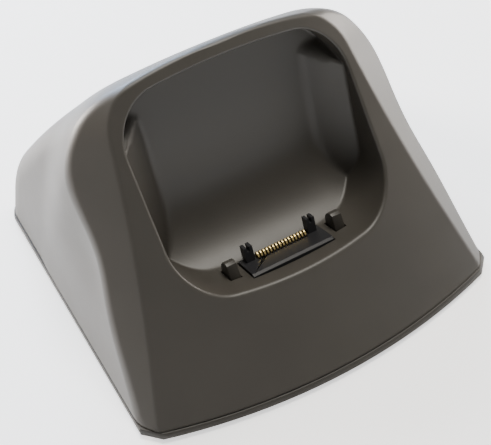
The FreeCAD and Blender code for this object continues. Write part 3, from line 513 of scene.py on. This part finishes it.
class Housing:
    """Signed distances to the surfaces that bound the housing, in millimetres."""

    # The face's outline: how much more the low part leans than its chord, the high part's lean,
    # and the reach of the bend between them
    LOW_LEAN, HIGH_LEAN, BEND_REACH = 1.06, 0.16, 2.5
    # The upper corners grow rounder from this far before the hood's top, over this run
    CORNER_LEAD, CORNER_RUN = 5, 22

    def __init__(self, form, pocket):
        self.form = form = millimetres(form)
        self.pocket = pocket = millimetres(pocket)
        self.front = -form.base_depth / 2
        self.normal = np.array([0, -math.sin(form.face_angle), math.cos(form.face_angle)])
        self.slope = np.array([0, math.cos(form.face_angle), math.sin(form.face_angle)])
        self.tilt = math.pi / 2 - pocket.lean
        self.dock = np.array([0, self.front + pocket.run, form.lift + pocket.rise])
        self.along = np.array([0, math.cos(self.tilt), -math.sin(self.tilt)])
        self.upward = np.array([0, math.sin(self.tilt), math.cos(self.tilt)])

    def sides(self, point):
        """Front view: flared sides, round upper corners and a crowned top."""
        form = self.form
        across, up = np.abs(point[..., 0]), point[..., 2]
        half = form.waist_width / 2
        drop = (form.base_width - form.waist_width) / 2
        flare = (form.waist_rise ** 2 + drop ** 2) / (2 * drop)
        waist = form.lift + form.waist_rise
        arc = flare - np.hypot(half + flare - across, up - waist)
        side = np.where(up < waist, arc, across - half)
        spread = (up - form.hollow_rise) ** 2 + (point[..., 1] - self.front - form.hollow_run) ** 2
        side = side + form.hollow * np.exp(-spread / form.hollow_reach ** 2)
        crown = np.hypot(across, up - form.top + form.crown_radius) - form.crown_radius
        behind = point[..., 1] - self.front - form.hood_run + self.CORNER_LEAD
        share = np.clip(behind / self.CORNER_RUN, 0, 1)
        share = share * share * (3 - 2 * share)
        return meet(side, crown, form.hood_corner + (form.rear_corner - form.hood_corner) * share)

    def back(self, point):
        """Side view: the sloping back, turned into the upright rear."""
        form = self.form
        out_y, out_z = math.sin(form.back_angle), math.cos(form.back_angle)
        radius = form.rear_radius
        hub_y = -self.front - radius
        brow = out_y * (self.front + form.hood_run) + out_z * form.top
        hub_z = (brow - radius - out_y * hub_y) / out_z
        run, rise = point[..., 1] - hub_y, point[..., 2] - hub_z
        slope = run * out_y + rise * out_z - radius
        turn = np.where(rise < 0, run - radius, np.hypot(run, rise) - radius)
        return np.where(rise * out_y - run * out_z > 0, slope, turn)

    def sag(self, across):
        half, bow = self.form.base_width / 2, self.form.face_bow
        radius = (half ** 2 + bow ** 2) / (2 * bow)
        return radius - np.sqrt(radius ** 2 - across ** 2)

    def face(self, point):
        form = self.form
        rise = point[..., 2] - form.lift
        lead = self.front + self.sag(point[..., 0]) + rise / math.tan(form.face_angle)
        return (lead - point[..., 1]) * math.sin(form.face_angle)

    def bevel(self, point, face):
        """The bevel round the face, which starts from the flat face's outline."""
        form = self.form
        across = np.abs(point[..., 0])
        run = (point[..., 1] - self.sag(point[..., 0]) - self.front) * math.cos(form.face_angle)
        run = run + (point[..., 2] - form.lift) * math.sin(form.face_angle)
        lean_low = (form.crease_foot - form.crease_waist) / form.crease_level * self.LOW_LEAN
        lean_high = self.HIGH_LEAN
        low = (across - form.crease_foot + lean_low * run) * math.cos(math.atan(lean_low))
        high = across - form.crease_waist + lean_high * (run - form.crease_level)
        outline = blend_low(low, high * math.cos(math.atan(lean_high)), self.BEND_REACH)
        outline = meet(outline, run - form.crease_top, form.crease_corner)
        return outline * math.sin(form.bevel_angle) + face * math.cos(form.bevel_angle)

    def wall_of_pocket(self, across, up):
        pocket = self.pocket
        low = np.hypot(across, up - pocket.floor_radius + pocket.sag) - pocket.floor_radius
        high = np.hypot(across, up - pocket.top + pocket.brow_radius) - pocket.brow_radius
        outline = meet(across - pocket.width / 2, low, pocket.lip_corner)
        return meet(outline, high, pocket.brow_corner)

    def end_of_pocket(self, across, along, up):
        """The back wall with its curved heel, and the guides in its corners."""
        pocket = self.pocket
        run, rise = along - pocket.depth + pocket.heel_radius, up - pocket.heel_rise
        heel = np.where(run > 0, np.hypot(run, rise), -rise) - pocket.heel_radius
        back = np.where(rise > 0, along - pocket.depth, heel)
        edge = pocket.width / 2 - pocket.cheek_width
        chamfer = (across - edge + along - pocket.depth) / math.sqrt(2)
        start = np.array([edge, pocket.depth, pocket.cheek_back])
        end = np.array([pocket.width / 2, pocket.depth - pocket.cheek_depth, pocket.cheek_side])
        level = math.cos(pocket.cheek_lead) / math.sqrt(2)
        rise = np.array([level, level, math.sin(pocket.cheek_lead)])
        upright = np.cross(end - start, rise)
        upright *= math.copysign(1 / np.linalg.norm(upright), upright[2])
        ramp = ((across - start[0]) * upright[0] + (along - start[1]) * upright[1]
                + (up - start[2]) * upright[2])
        cheek = meet(-chamfer, ramp, pocket.crease_soft)
        return meet(back, -cheek, pocket.crease_soft)

    def parts(self, point):
        """Each bounding distance at the points: sides, back, face, bevel, pocket wall and end."""
        rel = point - self.dock
        across, along, up = np.abs(rel[..., 0]), rel @ self.along, rel @ self.upward
        face = self.face(point)
        return (self.sides(point), self.back(point), face, self.bevel(point, face),
                self.wall_of_pocket(across, up), self.end_of_pocket(across, along, up))

    def distance(self, point):
        sides, back, face, bevel, wall, end = self.parts(point)
        body = meet(sides, back, self.form.edge_radius)
        skin = meet(body, meet(face, bevel, self.form.crease_soft), self.form.rim_soft)
        bay = meet(wall, end, self.pocket.crease_soft)
        return meet(skin, -bay, self.pocket.lip_soft)


class Sections:
    """The housing's surface as section lines, one in each half-plane round the face's normal."""

    def __init__(self, housing, count):
        self.housing = housing
        pocket = housing.pocket
        turn = np.arange(count) * (2 * math.pi / count)
        level = np.array([1.0, 0, 0])
        self.out = np.cos(turn)[:, None] * level + np.sin(turn)[:, None] * housing.slope
        middle = housing.dock + housing.upward * (pocket.top / 2)
        lead = housing.face(middle) / (housing.along @ housing.normal)
        self.hub = middle - housing.along * lead

    def place(self, line):
        """Points from their distance out and their depth, in each line's half-plane."""
        return self.hub + line[..., :1] * self.out - line[..., 1:] * self.housing.normal

    def value(self, line):
        return self.housing.distance(self.place(line))

    def gradient(self, line):
        small = 1e-4
        value = self.value(line)
        slope = [(self.value(line + step) - value) / small for step in np.eye(2) * small]
        return value, np.stack(slope, -1)

    def settle(self, line, times):
        for _ in range(times):
            value, slope = self.gradient(line)
            line = line - slope * (value / np.maximum((slope ** 2).sum(-1), 1e-3))[..., None]
        return line

    def first_ring(self, reach, nearest=8.0, farthest=30.0, halvings=40):
        """Where each line meets the pocket's back wall, sought between two depths."""
        near, far = np.full(len(self.out), nearest), np.full(len(self.out), farthest)
        for _ in range(halvings):
            middle = (near + far) / 2
            inside = self.value(np.stack([np.full_like(middle, reach), middle], -1)) < 0
            far = np.where(inside, middle, far)
            near = np.where(inside, near, middle)
        return np.stack([np.full_like(near, reach), near], -1)

    def trace(self, step, low):
        """Every section line from the pocket's back wall to the housing's lower edge."""
        most_steps = 2000
        line = self.first_ring(0.5)
        heading = np.tile([1.0, 0.0], (len(line), 1))
        found, live = [line], np.ones(len(line), bool)
        while live.any() and len(found) < most_steps:
            slope = self.gradient(line)[1]
            slope /= np.linalg.norm(slope, axis=-1, keepdims=True)
            side = np.stack([-slope[:, 1], slope[:, 0]], -1)
            side *= np.sign((side * heading).sum(-1))[:, None]
            ahead = self.settle(line + side * step, 2)
            line = np.where(live[:, None], ahead, line)
            heading = np.where(live[:, None], side, heading)
            found.append(line)
            live &= self.place(line)[:, 2] > low
        return np.stack(found)


def crossing(signal, reach, after):
    """Where along each line a signal first turns positive, once past a given reach."""
    count, lines = signal.shape
    result = np.full(lines, np.inf)
    for item in range(lines):
        hits = np.nonzero((signal[1:, item] > 0) & (signal[:-1, item] <= 0)
                          & (reach[1:, item] > after[item]))[0]
        if len(hits):
            first = hits[0]
            low, high = signal[first, item], signal[first + 1, item]
            share = -low / (high - low)
            result[item] = reach[first, item] * (1 - share) + reach[first + 1, item] * share
    return result


def spaced(start, end, rows, near, far, tight=6):
    """Rows between two reaches of every line, closer together at either end."""
    span = end - start
    near, far = np.minimum(near, span * tight / rows), np.minimum(far, span * tight / rows)
    steps = np.linspace(0, 1, tight + 1)[:, None]
    inner = np.linspace(0, 1, rows - 2 * tight + 1)[1:-1, None]
    return np.concatenate([start + steps * near, start + near + inner * (span - near - far),
                           end - far + steps * far])[:-1]


# Rows of points on each stretch of a section line: the pocket's end, the pocket's wall, the face,
# the bevel, the hood or sides, and the rear
END_ROWS, WALL_ROWS, FACE_ROWS, BEVEL_ROWS, SIDE_ROWS, REAR_ROWS = 34, 36, 32, 20, 30, 30


def housing_lines(sections, step):
    """Rows of points on the outer skin, from the back wall to the lower edge, and the lip's row."""
    housing = sections.housing
    low = housing.form.parting
    track = sections.trace(step, low)
    move = np.linalg.norm(np.diff(track, axis=0), axis=-1)
    reach = np.concatenate([np.zeros((1, move.shape[1])), np.cumsum(move, axis=0)])
    point = sections.place(track)
    sides, back, face, bevel, wall, end = housing.parts(point)
    skin = np.maximum(np.maximum(sides, back), np.maximum(face, bevel))
    last = crossing(low - point[..., 2], reach, np.zeros(move.shape[1]))
    foot = crossing(wall - end, reach, np.zeros(move.shape[1]))
    lip = crossing(skin + np.maximum(wall, end), reach, foot)
    crease = crossing(bevel - face, reach, lip)
    rim = crossing(np.maximum(sides, back) - np.maximum(face, bevel), reach, lip)
    ridge = crossing(back - sides, reach, lip)
    least = 0.25
    ridge = np.minimum(ridge, last - least)
    rim = np.minimum(rim, ridge - least)
    crease = np.minimum(crease, rim - least)
    zero = np.zeros_like(last)
    marks = np.concatenate([
        spaced(zero, foot, END_ROWS, 2.0, 2.4), spaced(foot, lip, WALL_ROWS, 2.0, 1.8),
        spaced(lip, crease, FACE_ROWS, 1.8, 3.0), spaced(crease, rim, BEVEL_ROWS, 2.4, 2.0),
        spaced(rim, ridge, SIDE_ROWS, 2.0, 5.0), spaced(ridge, last, REAR_ROWS, 5.0, 1.0),
        last[None]])
    rows = np.empty(marks.shape + (2,))
    for item in range(marks.shape[1]):
        for axis in range(2):
            rows[:, item, axis] = np.interp(marks[:, item], reach[:, item], track[:, item, axis])
    return sections.settle(rows, 3), END_ROWS + WALL_ROWS


def ring_faces(rows, count, flip):
    """Quads between neighbouring rings of points, as indices."""
    faces = []
    for row in range(rows - 1):
        for item in range(count):
            after = (item + 1) % count
            quad = [row * count + item, row * count + after, (row + 1) * count + after,
                    (row + 1) * count + item]
            faces.append(quad[::-1] if flip else quad)
    return faces


def housing_mesh(form, pocket):
    """The housing as one closed wall: its skin outside, and an offset lining inside."""
    housing = Housing(form, pocket)
    count = 420
    sections = Sections(housing, count)
    lines, lip_row = housing_lines(sections, 0.35)
    low, break_width = housing.form.parting, 0.12
    skin = sections.place(lines)
    skin[-1, :, 2] = low + break_width
    small = 1e-3
    slope = np.stack([housing.distance(skin + step) - housing.distance(skin - step)
                      for step in np.eye(3) * small], -1)
    slope /= np.linalg.norm(slope, axis=-1, keepdims=True)
    level = slope[-1] * np.array([1, 1, 0])
    level /= np.linalg.norm(level, axis=-1, keepdims=True)
    edge = skin[-1] - level * break_width
    edge[:, 2] = low
    inset = housing.form.wall / np.maximum(np.abs(slope[-1, :, 1:2]), 0.7)
    inner_edge = skin[-1] - level * inset
    inner_edge[:, 2] = low
    total = len(skin)
    lining_step, lip_gap = 6, 11
    kept = [row for row in range(total - 8, 0, -lining_step) if abs(row - lip_row) > lip_gap]
    lining = [skin[row] - slope[row] * housing.form.wall for row in kept]
    rings = np.concatenate([skin, [edge, inner_edge], lining])
    rings[total + 2:, :, 2] = np.maximum(rings[total + 2:, :, 2], low)
    vertices = rings.reshape(-1, 3)
    rows = len(rings)
    faces = ring_faces(rows, count, True)
    first, final = len(vertices), len(vertices) + 1
    poles = np.stack([skin[0].mean(0), lining[-1].mean(0)])
    vertices = np.concatenate([vertices, poles]) / 1000
    base = (rows - 1) * count
    for item in range(count):
        after = (item + 1) % count
        faces.append([first, item, after])
        faces.append([final, base + after, base + item])
    return mesh_object("housing_shell", vertices.tolist(), faces)


def cutter(name, form, place):
    """An object to cut with, from a form that is moved into place."""
    form.transform(place)
    mesh = bpy.data.meshes.new(name)
    form.to_mesh(mesh)
    form.free()
    return linked(name, mesh)


def box_tool(name, low, high, turn=None):
    """A box to cut with, from its corners in millimetres, turned into place."""
    form = bmesh.new()
    bmesh.ops.create_cube(form, size=1.0)
    size, middle = (Vector(high) - Vector(low)) / 1000, (Vector(high) + Vector(low)) / 2000
    place = Matrix.Translation(middle) @ Matrix.Diagonal((*size, 1.0))
    return cutter(name, form, (turn or Matrix()) @ place)


def rod_tool(name, foot, radius, length):
    """A round bar to cut with, which runs to the back from its foot, in millimetres."""
    form = bmesh.new()
    bmesh.ops.create_cone(form, cap_ends=True, segments=64, radius1=radius / 1000,
                          radius2=radius / 1000, depth=length / 1000)
    middle = Vector(foot) / 1000 + Vector((0, length / 2000, 0))
    return cutter(name, form, Matrix.Translation(middle) @ Matrix.Rotation(-math.pi / 2, 4, "X"))


def cut_away(thing, tools):
    """Cut the tools out of an object, and delete them."""
    for tool in tools:
        modifier = thing.modifiers.new(tool.name, "BOOLEAN")
        modifier.operation = "DIFFERENCE"
        modifier.solver = "MANIFOLD"
        modifier.object = tool
    bake(thing)
    for tool in tools:
        bpy.data.objects.remove(tool)


def dock_matrix():
    """From the dock's own frame to the cradle's, in metres."""
    pocket = bpy.context.scene.cradle_pocket
    form = bpy.context.scene.cradle_form
    origin = Vector((0, -form.base_depth / 2 + pocket.run, form.lift + pocket.rise))
    return Matrix.Translation(origin) @ Matrix.Rotation(pocket.lean - math.pi / 2, 4, "X")


# ---------------------------------------------------------------- operators

class CRADLE_OT_housing(bpy.types.Operator):
    """Build the housing with its face, bevel, hood and pocket"""
    bl_idname = "cradle.housing"
    bl_label = "Housing"

    # The slots in the dock's frame, in millimetres: across, along, and how far up and down they cut
    BLOCK_ACROSS, BLOCK_ALONG = 13.0, (7.9, 18.2)
    POST_ACROSS, POST_ALONG = (14.9, 18.5), (10.8, 17.3)
    CUT = 9.0

    def execute(self, context):
        shell = housing_mesh(context.scene.cradle_form, context.scene.cradle_pocket)
        spans = [("block_slot", (-self.BLOCK_ACROSS, self.BLOCK_ACROSS), self.BLOCK_ALONG)]
        for side in (-1, 1):
            across = sorted(side * edge for edge in self.POST_ACROSS)
            spans.append(("post_slot", across, self.POST_ALONG))
        slots = [box_tool(name, (across[0], along[0], -self.CUT), (across[1], along[1], self.CUT),
                          dock_matrix()) for name, across, along in spans]
        cut_away(shell, slots + self.ports(context.scene.cradle_fittings))
        smooth(shell, 50)
        colours = context.scene.cradle_colours
        material = finish("moulded housing", colours.housing, 0.46, grain=0.00042, depth=0.000012)
        seat(shell, material, "housing", ["top_housing"])
        return {"FINISHED"}

    def ports(self, sizes):
        """The rear openings, round the power inlet's nose and round the sync socket."""
        pin = middle_of("dc_pin") * 1000
        low, high = (corner * 1000 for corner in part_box("usb_shell"))
        gap, outside = 0.3, 70.0
        return [rod_tool("jack_hole", (pin.x, pin.y - 2, pin.z), sizes.jack_radius * 1000, 24.0),
                box_tool("sync_hole", (low.x - gap, low.y, low.z - gap),
                         (high.x + gap, outside, high.z + gap))]


def middle_of(node, low=False):
    """The middle of a CAD node's box, or of its underside."""
    first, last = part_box(node)
    middle = (first + last) / 2
    return Vector((middle.x, middle.y, first.z)) if low else middle


class CRADLE_OT_connector(bpy.types.Operator):
    """Build the docking connector and the rocker that carries it, with its two posts"""
    bl_idname = "cradle.connector"
    bl_label = "Connector and rocker"

    def execute(self, context):
        colours = context.scene.cradle_colours
        satin = finish("satin black moulding", colours.connector, 0.45, grain=0.00025, depth=0.000004,
                       spread=0.2, uneven=0.1)
        sizes = context.scene.cradle_fittings
        block = chamfered(copy_of("dock_connector"), dock_matrix(), sizes.block_front, sizes.block_top,
                          sizes.block_chamfer)
        block = softened(block, 0.0001, 2)
        block.data.shade_flat()
        seat(block, satin, "rocker", ["dock_connector"])
        # The rocker is the housing's grey plastic; its colour at 0.8 of the housing's is painted shade
        # of the pocket under the hood
        moulded = finish("moulded rocker", shaded(colours.housing, 0.8)[:3], 0.42, grain=0.0003,
                         depth=0.000008)
        rocker = softened(copy_of("dock_rocker"), 0.0004)
        seat(rocker, moulded, "rocker", ["dock_rocker"])
        return {"FINISHED"}


class CRADLE_OT_contacts(bpy.types.Operator):
    """Bend the contacts, one for each leaf"""
    bl_idname = "cradle.contacts"
    bl_label = "Contacts"

    def execute(self, context):
        sizes = context.scene.cradle_fittings
        gold = finish("plated contacts", context.scene.cradle_colours.contact, 0.36, grain=0.0002,
                      depth=0.000001, spread=0.10, uneven=0.08, metallic=1.0, drift=0.002)
        tree = leaf_tree(gold)
        half = sizes.leaf_thick / 2
        back, front, top = sizes.leaf_back - half, sizes.leaf_front + half, sizes.leaf_top - half
        middle = (back + front) / 2
        lead, crest, shoulder = 0.0004, 0.0003, 0.0011
        spine = [(0, back, -sizes.leaf_foot), (0, back, top - shoulder),
                 (0, back - lead, top - crest), (0, middle, top), (0, front + lead, top - crest),
                 (0, front, top - shoulder), (0, front + 0.00024, top - 0.00178)]
        edges = [(index, index + 1) for index in range(len(spine) - 1)]
        for index in range(sizes.contacts):
            label = f"contact_{index + 1:02d}"
            across = (index - (sizes.contacts - 1) / 2) * sizes.pitch
            thing = grown(f"{label}_piece", (spine, [], edges), tree,
                          {"Across": across, "Width": sizes.leaf_width, "Thickness": sizes.leaf_thick,
                           "Bend": 0.0003})
            thing.data.transform(dock_matrix())
            smooth(thing, 50)
            seat(thing, gold, f"leaf_{index + 1:02d}", [label])
        return {"FINISHED"}


class CRADLE_OT_base(bpy.types.Operator):
    """Build the base cover with its feet, screws and ballast"""
    bl_idname = "cradle.base"
    bl_label = "Base"

    def execute(self, context):
        colours, sizes = context.scene.cradle_colours, context.scene.cradle_fittings
        # The cover's colour at 0.75 of the housing's is painted shade along its low rim under the
        # housing's edge
        cover = finish("moulded cover", shaded(colours.housing, 0.75)[:3], 0.55, grain=0.0005,
                       depth=0.00002)
        shape = softened(copy_of("base_cover"), 0.0003, 2)
        seat(shape, cover, "housing", ["base_cover"])
        rubber = finish("rubber", colours.rubber, 0.8, grain=0.0003, depth=0.00002, spread=0.2)
        feet = [name for name in sorted(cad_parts) if name.startswith("foot_")]
        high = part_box(feet[0])[1].z
        thing = grown("rubber_feet", ([middle_of(name, True) for name in feet], []), foot_tree(rubber),
                      {"Radius": sizes.foot_radius, "Height": high})
        smooth(thing, 35)
        seat(thing, rubber, "housing", feet)
        steel = finish("zinc plated steel", colours.steel, 0.33, grain=0.0004, depth=0.000002,
                       spread=0.12, uneven=0.12, metallic=1.0, drift=0.006)
        low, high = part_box("base_screws")
        head_height, rear_inset = 0.002, 0.002
        front_x, rear_x = high.x - sizes.head_radius, high.x - sizes.head_radius - rear_inset
        front_y, rear_y = low.y + sizes.head_radius, high.y - sizes.head_radius
        seat_z = low.z + head_height
        places = [(side * x, y, seat_z) for x, y in ((front_x, front_y), (rear_x, rear_y))
                  for side in (-1, 1)]
        tree = screw_tree("base screws", 1, steel)
        thing = grown("base_screw_set", (places, []), tree,
                      {"Shank": sizes.screw_radius, "Length": high.z - seat_z,
                       "Head": sizes.head_radius, "Head height": head_height})
        smooth(thing, 35)
        seat(thing, steel, "housing", ["base_screws"])
        plate = finish("ballast steel", colours.steel, 0.5, grain=0.0007, depth=0.00001, spread=0.25,
                       uneven=0.15, metallic=1.0)
        for node, width, metal in (("ballast_plate", 0.0004, plate), ("rocker_pin", 0.00025, steel),
                                   ("usb_shell", 0.00012, steel)):
            seat(softened(copy_of(node), width), metal, "housing", [node])
        paint(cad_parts["rocker_spring"], steel)
        return {"FINISHED"}


class CRADLE_OT_electronics(bpy.types.Operator):
    """Build the boards, their parts, the sockets and the flat cable"""
    bl_idname = "cradle.electronics"
    bl_label = "Electronics"

    def execute(self, context):
        colours = context.scene.cradle_colours
        board = traced("circuit board", colours.board, colours.copper)
        nylon = finish("natural nylon", colours.nylon, 0.45, grain=0.0005, depth=0.000008, spread=0.06)
        black = finish("black moulding", colours.connector, 0.4, grain=0.0003, depth=0.000006,
                       spread=0.2)
        gold = finish("plated pin", colours.contact, 0.25, grain=0.0003, depth=0.000001, metallic=1.0)
        steel = finish("screw steel", colours.steel, 0.3, grain=0.0004, depth=0.000002, metallic=1.0)
        pieces = (("main_board", 0.0001, board, "housing", "circuit_board"),
                  ("dock_board", 0.0001, board, "rocker", "circuit_board"),
                  ("main_header", 0.0002, nylon, "housing", "header_plastic"),
                  ("dock_header", 0.0002, nylon, "rocker", "header_plastic"),
                  ("dc_jack", 0.0003, black, "housing", "connector_plastic"),
                  ("usb_tongue", 0.0001, black, "housing", "connector_plastic"),
                  ("charge_chip", 0.00015, black, "housing", "connector_plastic"),
                  ("inductor", 0.0005, black, "housing", "connector_plastic"),
                  ("dc_pin", 0.0004, gold, "housing", "contact_gold"))
        for node, width, material, body, slot in pieces:
            seat(softened(copy_of(node), width), material, body, [node])
        cans = finish("drawn aluminium", colours.can, 0.3, grain=0.0003, depth=0.000002, metallic=1.0)
        low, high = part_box("capacitors")
        radius = (high.y - low.y) / 2
        places = [(x, (low.y + high.y) / 2, low.z) for x in (low.x + radius, high.x - radius)]
        thing = grown("capacitor_cans", (places, []), can_tree(cans),
                      {"Radius": radius, "Height": high.z - low.z})
        smooth(thing, 35)
        seat(thing, cans, "housing", ["capacitors"])
        low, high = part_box("board_screws")
        shank, radius, head_height = 0.0011, 0.0022, 0.0015
        seat_z = high.z - head_height
        places = [(x, y, seat_z) for x in (low.x + radius, high.x - radius)
                  for y in (low.y + radius, high.y - radius)]
        thing = grown("board_screw_set", (places, []), screw_tree("board screws", -1, steel),
                      {"Shank": shank, "Length": seat_z - low.z, "Head": radius,
                       "Head height": head_height})
        smooth(thing, 35)
        seat(thing, steel, "housing", ["board_screws"])
        paint(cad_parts["flat_cable"], striped("flat cable", colours.film, 0.001, 0.75, 0.4))
        return {"FINISHED"}


class CRADLE_OT_stage(bpy.types.Operator):
    """Set the floor, the lights and the camera"""
    bl_idname = "cradle.stage"
    bl_label = "Stage"

    # Name, place, aim, side in metres, power in watts and tint
    LIGHTS = (
        ("top panel", (0.14, 0.10, 0.85), (0, 0, 0.03), 0.35, 8.5, (1.0, 0.96, 0.88)),
        ("sky panel", (0.0, 0.80, 0.42), (0, 0.02, 0.03), 0.5, 18.0, (0.60, 0.76, 1.0)),
        ("rear left panel", (-0.58, 0.74, 0.24), (0, 0, 0.03), 0.4, 27.0, (1.0, 0.92, 0.85)),
        ("right panel", (0.85, 0.12, 0.22), (0, 0, 0.03), 0.35, 11.0, (1.0, 0.93, 0.86)))
    # The camera: its turn to the left, rise and roll in degrees, and its distance in metres
    TURN, RISE, ROLL, DISTANCE = 27.65, 49.33, 3.23, 0.2906
    AIM, SHIFT, LENS = (0, -0.0095, 0.0315), (0.00432, 0.0072), 77.77

    def execute(self, context):
        scene = context.scene
        floor = mesh_object("floor", [(-3, -3, 0), (3, -3, 0), (3, 3, 0), (-3, 3, 0)], [(0, 1, 2, 3)])
        pale = finish("pale floor", scene.cradle_colours.floor, 0.7, grain=0.02, depth=0.00001,
                      spread=0.01, drift=0.4)
        plug(opened(pale)[0], {"Emission Color": (1, 1, 1, 1), "Emission Strength": 1.1})
        floor.data.materials.append(pale)
        self.camera(scene)
        for lamp in self.LIGHTS:
            self.light(*lamp)
        world = bpy.data.worlds.new("studio")
        scene.world = world
        world.use_nodes = True
        plug(world.node_tree.nodes["Background"], {"Color": (1, 1, 1, 1), "Strength": 0.22})
        return {"FINISHED"}

    def light(self, name, place, aim, size, power, tint):
        data = bpy.data.lights.new(name, "AREA")
        data.shape = "SQUARE"
        data.size = size
        data.energy = power
        data.color = tint
        turned = (Vector(aim) - Vector(place)).to_track_quat("-Z", "Y").to_matrix().to_4x4()
        linked(name, data).matrix_world = Matrix.Translation(place) @ turned

    def camera(self, scene):
        turn, rise, roll = (math.radians(item) for item in (self.TURN, self.RISE, self.ROLL))
        level = math.cos(rise)
        behind = Vector((-math.sin(turn) * level, -math.cos(turn) * level, math.sin(rise)))
        right = Vector((math.cos(turn), -math.sin(turn), 0))
        up = behind.cross(right)
        side = math.cos(roll) * right - math.sin(roll) * up
        crest = math.sin(roll) * right + math.cos(roll) * up
        aim = Vector(self.AIM) - self.SHIFT[0] * side - self.SHIFT[1] * crest
        data = bpy.data.cameras.new("camera")
        data.sensor_width = 36.0
        data.lens = self.LENS
        thing = linked("camera", data)
        turned = Matrix((side, crest, behind)).transposed().to_4x4()
        thing.matrix_world = Matrix.Translation(aim + self.DISTANCE * behind) @ turned
        scene.camera = thing


class CRADLE_PT_panel(bpy.types.Panel):
    """The cradle's pieces, in the order in which they are built"""
    bl_idname = "CRADLE_PT_panel"
    bl_label = "Charging cradle"
    bl_space_type = "VIEW_3D"
    bl_region_type = "UI"
    bl_category = "Cradle"

    def draw(self, context):
        for item in OPERATORS:
            self.layout.operator(item.bl_idname)


OPERATORS = (CRADLE_OT_housing, CRADLE_OT_connector, CRADLE_OT_contacts, CRADLE_OT_base,
             CRADLE_OT_electronics, CRADLE_OT_stage)
GROUPS = {"cradle_form": CradleForm, "cradle_pocket": CradlePocket, "cradle_fittings": CradleFittings,
          "cradle_colours": CradleColours}


def register():
    for item in (*GROUPS.values(), *OPERATORS, CRADLE_PT_panel):
        bpy.utils.register_class(item)
    for name, group in GROUPS.items():
        setattr(bpy.types.Scene, name, PointerProperty(type=group))


def unregister():
    for name in GROUPS:
        delattr(bpy.types.Scene, name)
    for item in reversed((*GROUPS.values(), *OPERATORS, CRADLE_PT_panel)):
        bpy.utils.unregister_class(item)


def main():
    register()
    for item in OPERATORS:
        family, name = item.bl_idname.split(".")
        getattr(getattr(bpy.ops, family), name)()


if __name__ == "__main__":
    main()
